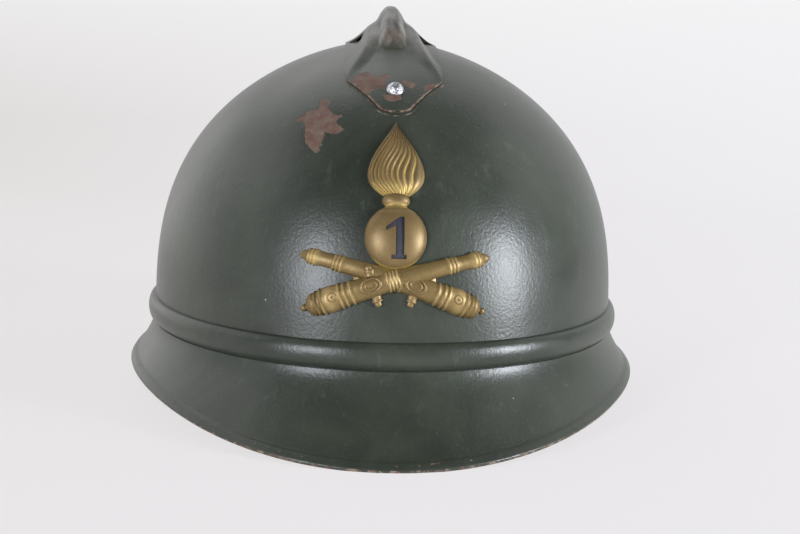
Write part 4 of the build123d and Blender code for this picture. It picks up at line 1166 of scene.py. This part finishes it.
thread_half, thread_lift, stitch_length = 0.33 * mm, 0.12 * mm, 2.6 * mm
stitch_rows, stitch_count, places = (34.2 * mm, 52.8 * mm), 168, []
for height in stitch_rows:
    for index in range(stitch_count):
        angle = math.tau * (index + 0.5) / stitch_count
        spot = oval_point(liner_radius - leather, angle, height)
        along = Vector((-math.sin(angle), stretch * math.cos(angle), 0)).normalized()
        inwards = -Vector((stretch * math.cos(angle), math.sin(angle), 0)).normalized()
        places.append((spot + inwards * thread_lift, along, inwards))
finish(stitches("band_stitches", places, stitch_length), thread, "root", "liner_leather")

# Drawstring
# A cotton lace goes down and up through the fourteen eyelets, over each gap and under each tongue. Its ends are
# knotted together at the back, hang inside and end in knots of their own.
lace_radius, lace_swing, lace_step = 0.8 * mm, 2.7 * mm, 2.6 * mm
end_knot, middle_knot = 1.25 * mm, 1.5 * mm
lace_tail, tail_splay, knot_inside, knot_side, knot_rise = 22 * mm, math.radians(14), 1.2 * mm, 0.8 * mm, 0.5 * mm
# Braided cotton lace: matt, cream and soiled. Its braid is drawn as coarse as it needs to show.
cotton, tree = new_finish("cotton_lace")
place = node(tree, "TexCoord").outputs["Object"]
weave = node(tree, "TexVoronoi", {"Vector": place, "Scale": 1 / (0.42 * mm)})
soil = node(tree, "TexNoise", {"Vector": place, "Scale": 1 / (5 * mm), "Detail": 3.0})
tone = node(tree, "Mix", {0: soil, 6: linear("#6f624c"), 7: linear("#b3a685")}, data_type="RGBA")
bump = node(tree, "Bump", {"Strength": 0.9, "Distance": 0.18 * mm, "Height": weave})
fluff = node(tree, "BsdfPrincipled", {"Base Color": tone, "Roughness": 0.9, "Sheen Weight": 0.2, "Normal": bump})
node(tree, "OutputMaterial", {0: fluff})


def lace_curve(name, points, closed):
    """A round lace along a smooth curve through its control points, as a mesh."""
    curve = bpy.data.curves.new(name, "CURVE")
    curve.dimensions, curve.bevel_depth, curve.bevel_resolution = "3D", lace_radius, 4
    curve.use_fill_caps = True
    spline = curve.splines.new("NURBS")
    spline.points.add(len(points) - 1)
    for control, point in zip(spline.points, points):
        control.co = (*point, 1)
    spline.order_u, spline.use_cyclic_u, spline.use_endpoint_u, spline.resolution_u = 3, closed, not closed, 8
    piece = bpy.data.objects.new(name, curve)
    bpy.context.collection.objects.link(piece)
    hold(piece)
    bpy.ops.object.convert(target="MESH")
    return bpy.context.object


middle = liner_z(lace_ring_radius) - leather / 2
half_spot, half_step = eyelet_spacing / 2 / lace_ring_radius, lace_step / 2 / lace_ring_radius
points = []
for angle in tongue_angles:
    for turn, rise in ((-half_spot - half_step, 1), (-half_spot + half_step, -1), (half_spot - half_step, -1),
                       (half_spot + half_step, 1)):
        points.append(oval_point(lace_ring_radius, angle + turn, middle + rise * lace_swing))
knot_place = (points[0] + points[-1]) / 2
laces = [lace_curve("drawstring", points, True)]
for side in (-1, 1):
    lean = Vector((-side * math.sin(tail_splay), 0, -math.cos(tail_splay)))
    bow = Vector((-side * 1.6 * mm, 1.2 * mm, 0))
    tail = [knot_place, knot_place + lean * lace_tail * 0.3 + bow, knot_place + lean * lace_tail * 0.6 + bow * 0.4,
            knot_place + lean * (lace_tail - knot_inside)]
    laces.append(lace_curve("tail", tail, False))
    beside = knot_place + Vector((side * knot_side, 0, side * knot_rise))
    for spot, radius in ((tail[-1], end_knot), (beside, middle_knot)):
        deselect()
        bpy.ops.mesh.primitive_torus_add(major_segments=32, minor_segments=14, major_radius=radius * 0.6,
                                         minor_radius=lace_radius * 0.95, location=spot,
                                         rotation=(0.9, side * 0.7, 0.3))
        laces.append(bpy.context.object)
join(laces, "drawstring")
bpy.ops.object.shade_smooth()
finish(laces[0], cotton, "root", "lace_cord", "liner_drawstring")

# Spacers, clips, lugs, loops, slide and prongs
# The spacers are corrugated aluminium strip, bright where it was bent. The clips, lugs, wire loops and the slide
# are mild steel, greyed and touched with rust, and the badge's prongs are brass. Their solids stay as they are.
# Rolled aluminium: soft grey with fine lines along the strip and dull white spots.
alloy, tree = new_finish("bent_aluminium_strip")
place = node(tree, "TexCoord").outputs["Object"]
brushed = node(tree, "Mapping", {0: place, 3: (1, 1, 12)})
lines = node(tree, "TexNoise", {"Vector": brushed, "Scale": 1 / (3 * mm), "Detail": 5.0})
spots = node(tree, "TexNoise", {"Vector": place, "Scale": 1 / (4 * mm), "Detail": 5.0, "Roughness": 0.7})
white = node(tree, "MapRange", {0: spots, 1: 0.52, 2: 0.68})
tone = node(tree, "Mix", {0: white, 6: linear("#b9babb"), 7: linear("#8a8a86")}, data_type="RGBA")
rough = node(tree, "MapRange", {0: white, 3: 0.32, 4: 0.6})
bump = node(tree, "Bump", {"Strength": 0.3, "Distance": 0.05 * mm, "Height": lines})
metal = node(tree, "BsdfPrincipled", {"Base Color": tone, "Metallic": 1.0, "Roughness": rough, "Normal": bump})
node(tree, "OutputMaterial", {0: metal})

# Mild steel, bare: dull grey, with brown rust in dry spots that have no metal shine.
steel, tree = new_finish("greyed_mild_steel")
place = node(tree, "TexCoord").outputs["Object"]
spots = node(tree, "TexNoise", {"Vector": place, "Scale": 1 / (2.5 * mm), "Detail": 6.0, "Roughness": 0.7})
rusty = node(tree, "MapRange", {0: spots, 1: 0.56, 2: 0.66})
tone = node(tree, "Mix", {0: rusty, 6: linear("#6f7071"), 7: linear("#5a3a26")}, data_type="RGBA")
dry = node(tree, "Math", {0: 1.0, 1: rusty}, operation="SUBTRACT")
rough = node(tree, "MapRange", {0: rusty, 3: 0.38, 4: 0.8})
bump = node(tree, "Bump", {"Strength": 0.4, "Distance": 0.08 * mm, "Height": spots})
metal = node(tree, "BsdfPrincipled", {"Base Color": tone, "Metallic": dry, "Roughness": rough, "Normal": bump})
node(tree, "OutputMaterial", {0: metal})
kept = {"badge_prongs": brass, "strap_slide": steel}
for name in ("front", "rear", "left", "right"):
    kept["spacer_" + name], kept["liner_clip_" + name] = alloy, steel
for name in ("left", "right"):
    kept["strap_lug_" + name] = kept["strap_loop_" + name] = steel
for name, material in kept.items():
    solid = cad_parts[name]
    solid.data.materials.clear()
    solid.data.materials.append(material)

# Chinstrap
# One strap of brown cowhide, folded round the right wire loop and sewn, then through the left one and back over
# itself through the slide. It is drawn up short under the bowl.
wire_radius, strap_gap, strap_thick, strap_wide = 1.5 * mm, 0.3 * mm, 1.6 * mm, 11 * mm
strap_low, layer_gap, fold_tail, lead_in, tip_x = 2.4 * mm, 0.7 * mm, 17 * mm, 24 * mm, -58 * mm
strap_bend, lug_stand_off, pivot_height, loop_drop = 14 * mm, 3.1 * mm, 21.5 * mm, 13 * mm
pivot_x, bar_height = half_width - sheet - lug_stand_off, pivot_height - loop_drop
wrap = wire_radius + strap_gap + strap_thick / 2
low, high, upper = bar_height - wrap, bar_height + wrap, strap_low + strap_thick + layer_gap
flat_x, fold_x = pivot_x - lead_in, pivot_x - fold_tail
drop = (high - upper) * fold_tail / lead_in
corners = [(-fold_x, high - drop), (-pivot_x, high), (-pivot_x - wrap, high), (-pivot_x - wrap, low), (-pivot_x, low),
           (-flat_x, strap_low), (flat_x, strap_low), (pivot_x, low), (pivot_x + wrap, low),
           (pivot_x + wrap, high), (pivot_x, high), (flat_x, upper), (tip_x, upper)]
tight = wrap * 0.98
radii = [wrap, tight, tight, wrap, strap_bend, strap_bend, wrap, tight, tight, wrap, strap_bend]
step_length, arc_step, edge_round = 1.2 * mm, 0.5 * mm, 0.45 * mm


def rounded(corners, radii):
    """Places along straight runs joined by arcs, close enough together to bend."""
    line = [Vector(corners[0])]
    for before, corner, after, radius in zip(corners, corners[1:], corners[2:], radii):
        corner = Vector(corner)
        back, on = (Vector(before) - corner).normalized(), (Vector(after) - corner).normalized()
        half = back.angle(on) / 2
        reach = radius / math.tan(half)
        middle = corner + (back + on).normalized() * radius / math.sin(half)
        start, end = corner + back * reach - middle, corner + on * reach - middle
        sweep_angle = start.angle_signed(end)
        parts = max(2, math.ceil(abs(sweep_angle) * radius / arc_step))
        for part in range(parts + 1):
            turned = Matrix.Rotation(-sweep_angle * part / parts, 2) @ start
            line.append(middle + turned)
    line.append(Vector(corners[-1]))
    spaced = [line[0]]
    for point in line[1:]:
        gap = (point - spaced[-1]).length
        for part in range(1, max(1, math.ceil(gap / step_length))):
            spaced.append(spaced[-1] + (point - spaced[-1]) / (math.ceil(gap / step_length) - part + 1))
        if gap > 0.01 * mm:
            spaced.append(point)
    return spaced


def strap(name, line):
    """A length of strap with rounded edges, from points in the XZ plane."""
    half_w, half_t = strap_wide / 2, strap_thick / 2
    side = [(half_w * 0.7, -half_t), (half_w - edge_round, -half_t), (half_w, -half_t + edge_round)]
    under = [(-x, z) for x, z in reversed(side)] + [(0, -half_t)] + side
    outline = under + [(x, -z) for x, z in reversed(under)] + under[:1]
    piece = grid(name, len(line) - 1, len(outline) - 1)
    edges = []
    for vertex in piece.data.vertices:
        index = round((vertex.co.x + 1) / 2 * (len(line) - 1))
        across, thick = outline[round((vertex.co.y + 1) / 2 * (len(outline) - 1))]
        before, after = line[max(index - 1, 0)], line[min(index + 1, len(line) - 1)]
        run = (after - before).normalized()
        out = Vector((-run.y, run.x))
        spot = line[index] + out * thick
        vertex.co = (spot.x, across, spot.y)
        edges.append(ease(0.86, 1.0, abs(across) / half_w))
    store(piece, "edge", edges)
    close_roll()
    smooth(50)
    piece.data.materials.append(cowhide)
    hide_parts("chinstrap")
    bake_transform(piece)


cowhide = tanned("brown_cowhide_strap", "#3b2415", "#5f3d24", 0.38, 0.7 * mm)
route = rounded(corners, radii)
slide_x, blend_start, blend_end = 18 * mm, 70 * mm, 92 * mm
split = min(range(len(route)), key=lambda index: abs(route[index].x - slide_x) + 10 * abs(route[index].y - strap_low))
strap("strap_right", route[:split + 1])
strap("strap_left", route[split:])
places, seam_start, seam_pitch, seam_count, seam_half, seam_stitch = [], 0.9 * mm, 1.7 * mm, 6, 3.6 * mm, 1.3 * mm
for index in range(seam_count):
    x = -fold_x - (seam_start + seam_pitch * index)
    z = high - drop * (1 - (-x - fold_x) / (pivot_x - fold_x)) + strap_thick / 2
    for across in (-seam_half, seam_half):
        places.append((Vector((x, across, z)), Vector((1, 0, -drop / fold_tail)).normalized(),
                       Vector((drop / fold_tail, 0, 1)).normalized()))
seam = stitches("strap_stitches", places, seam_stitch)
seam.data.materials.append(thread)
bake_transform(seam)
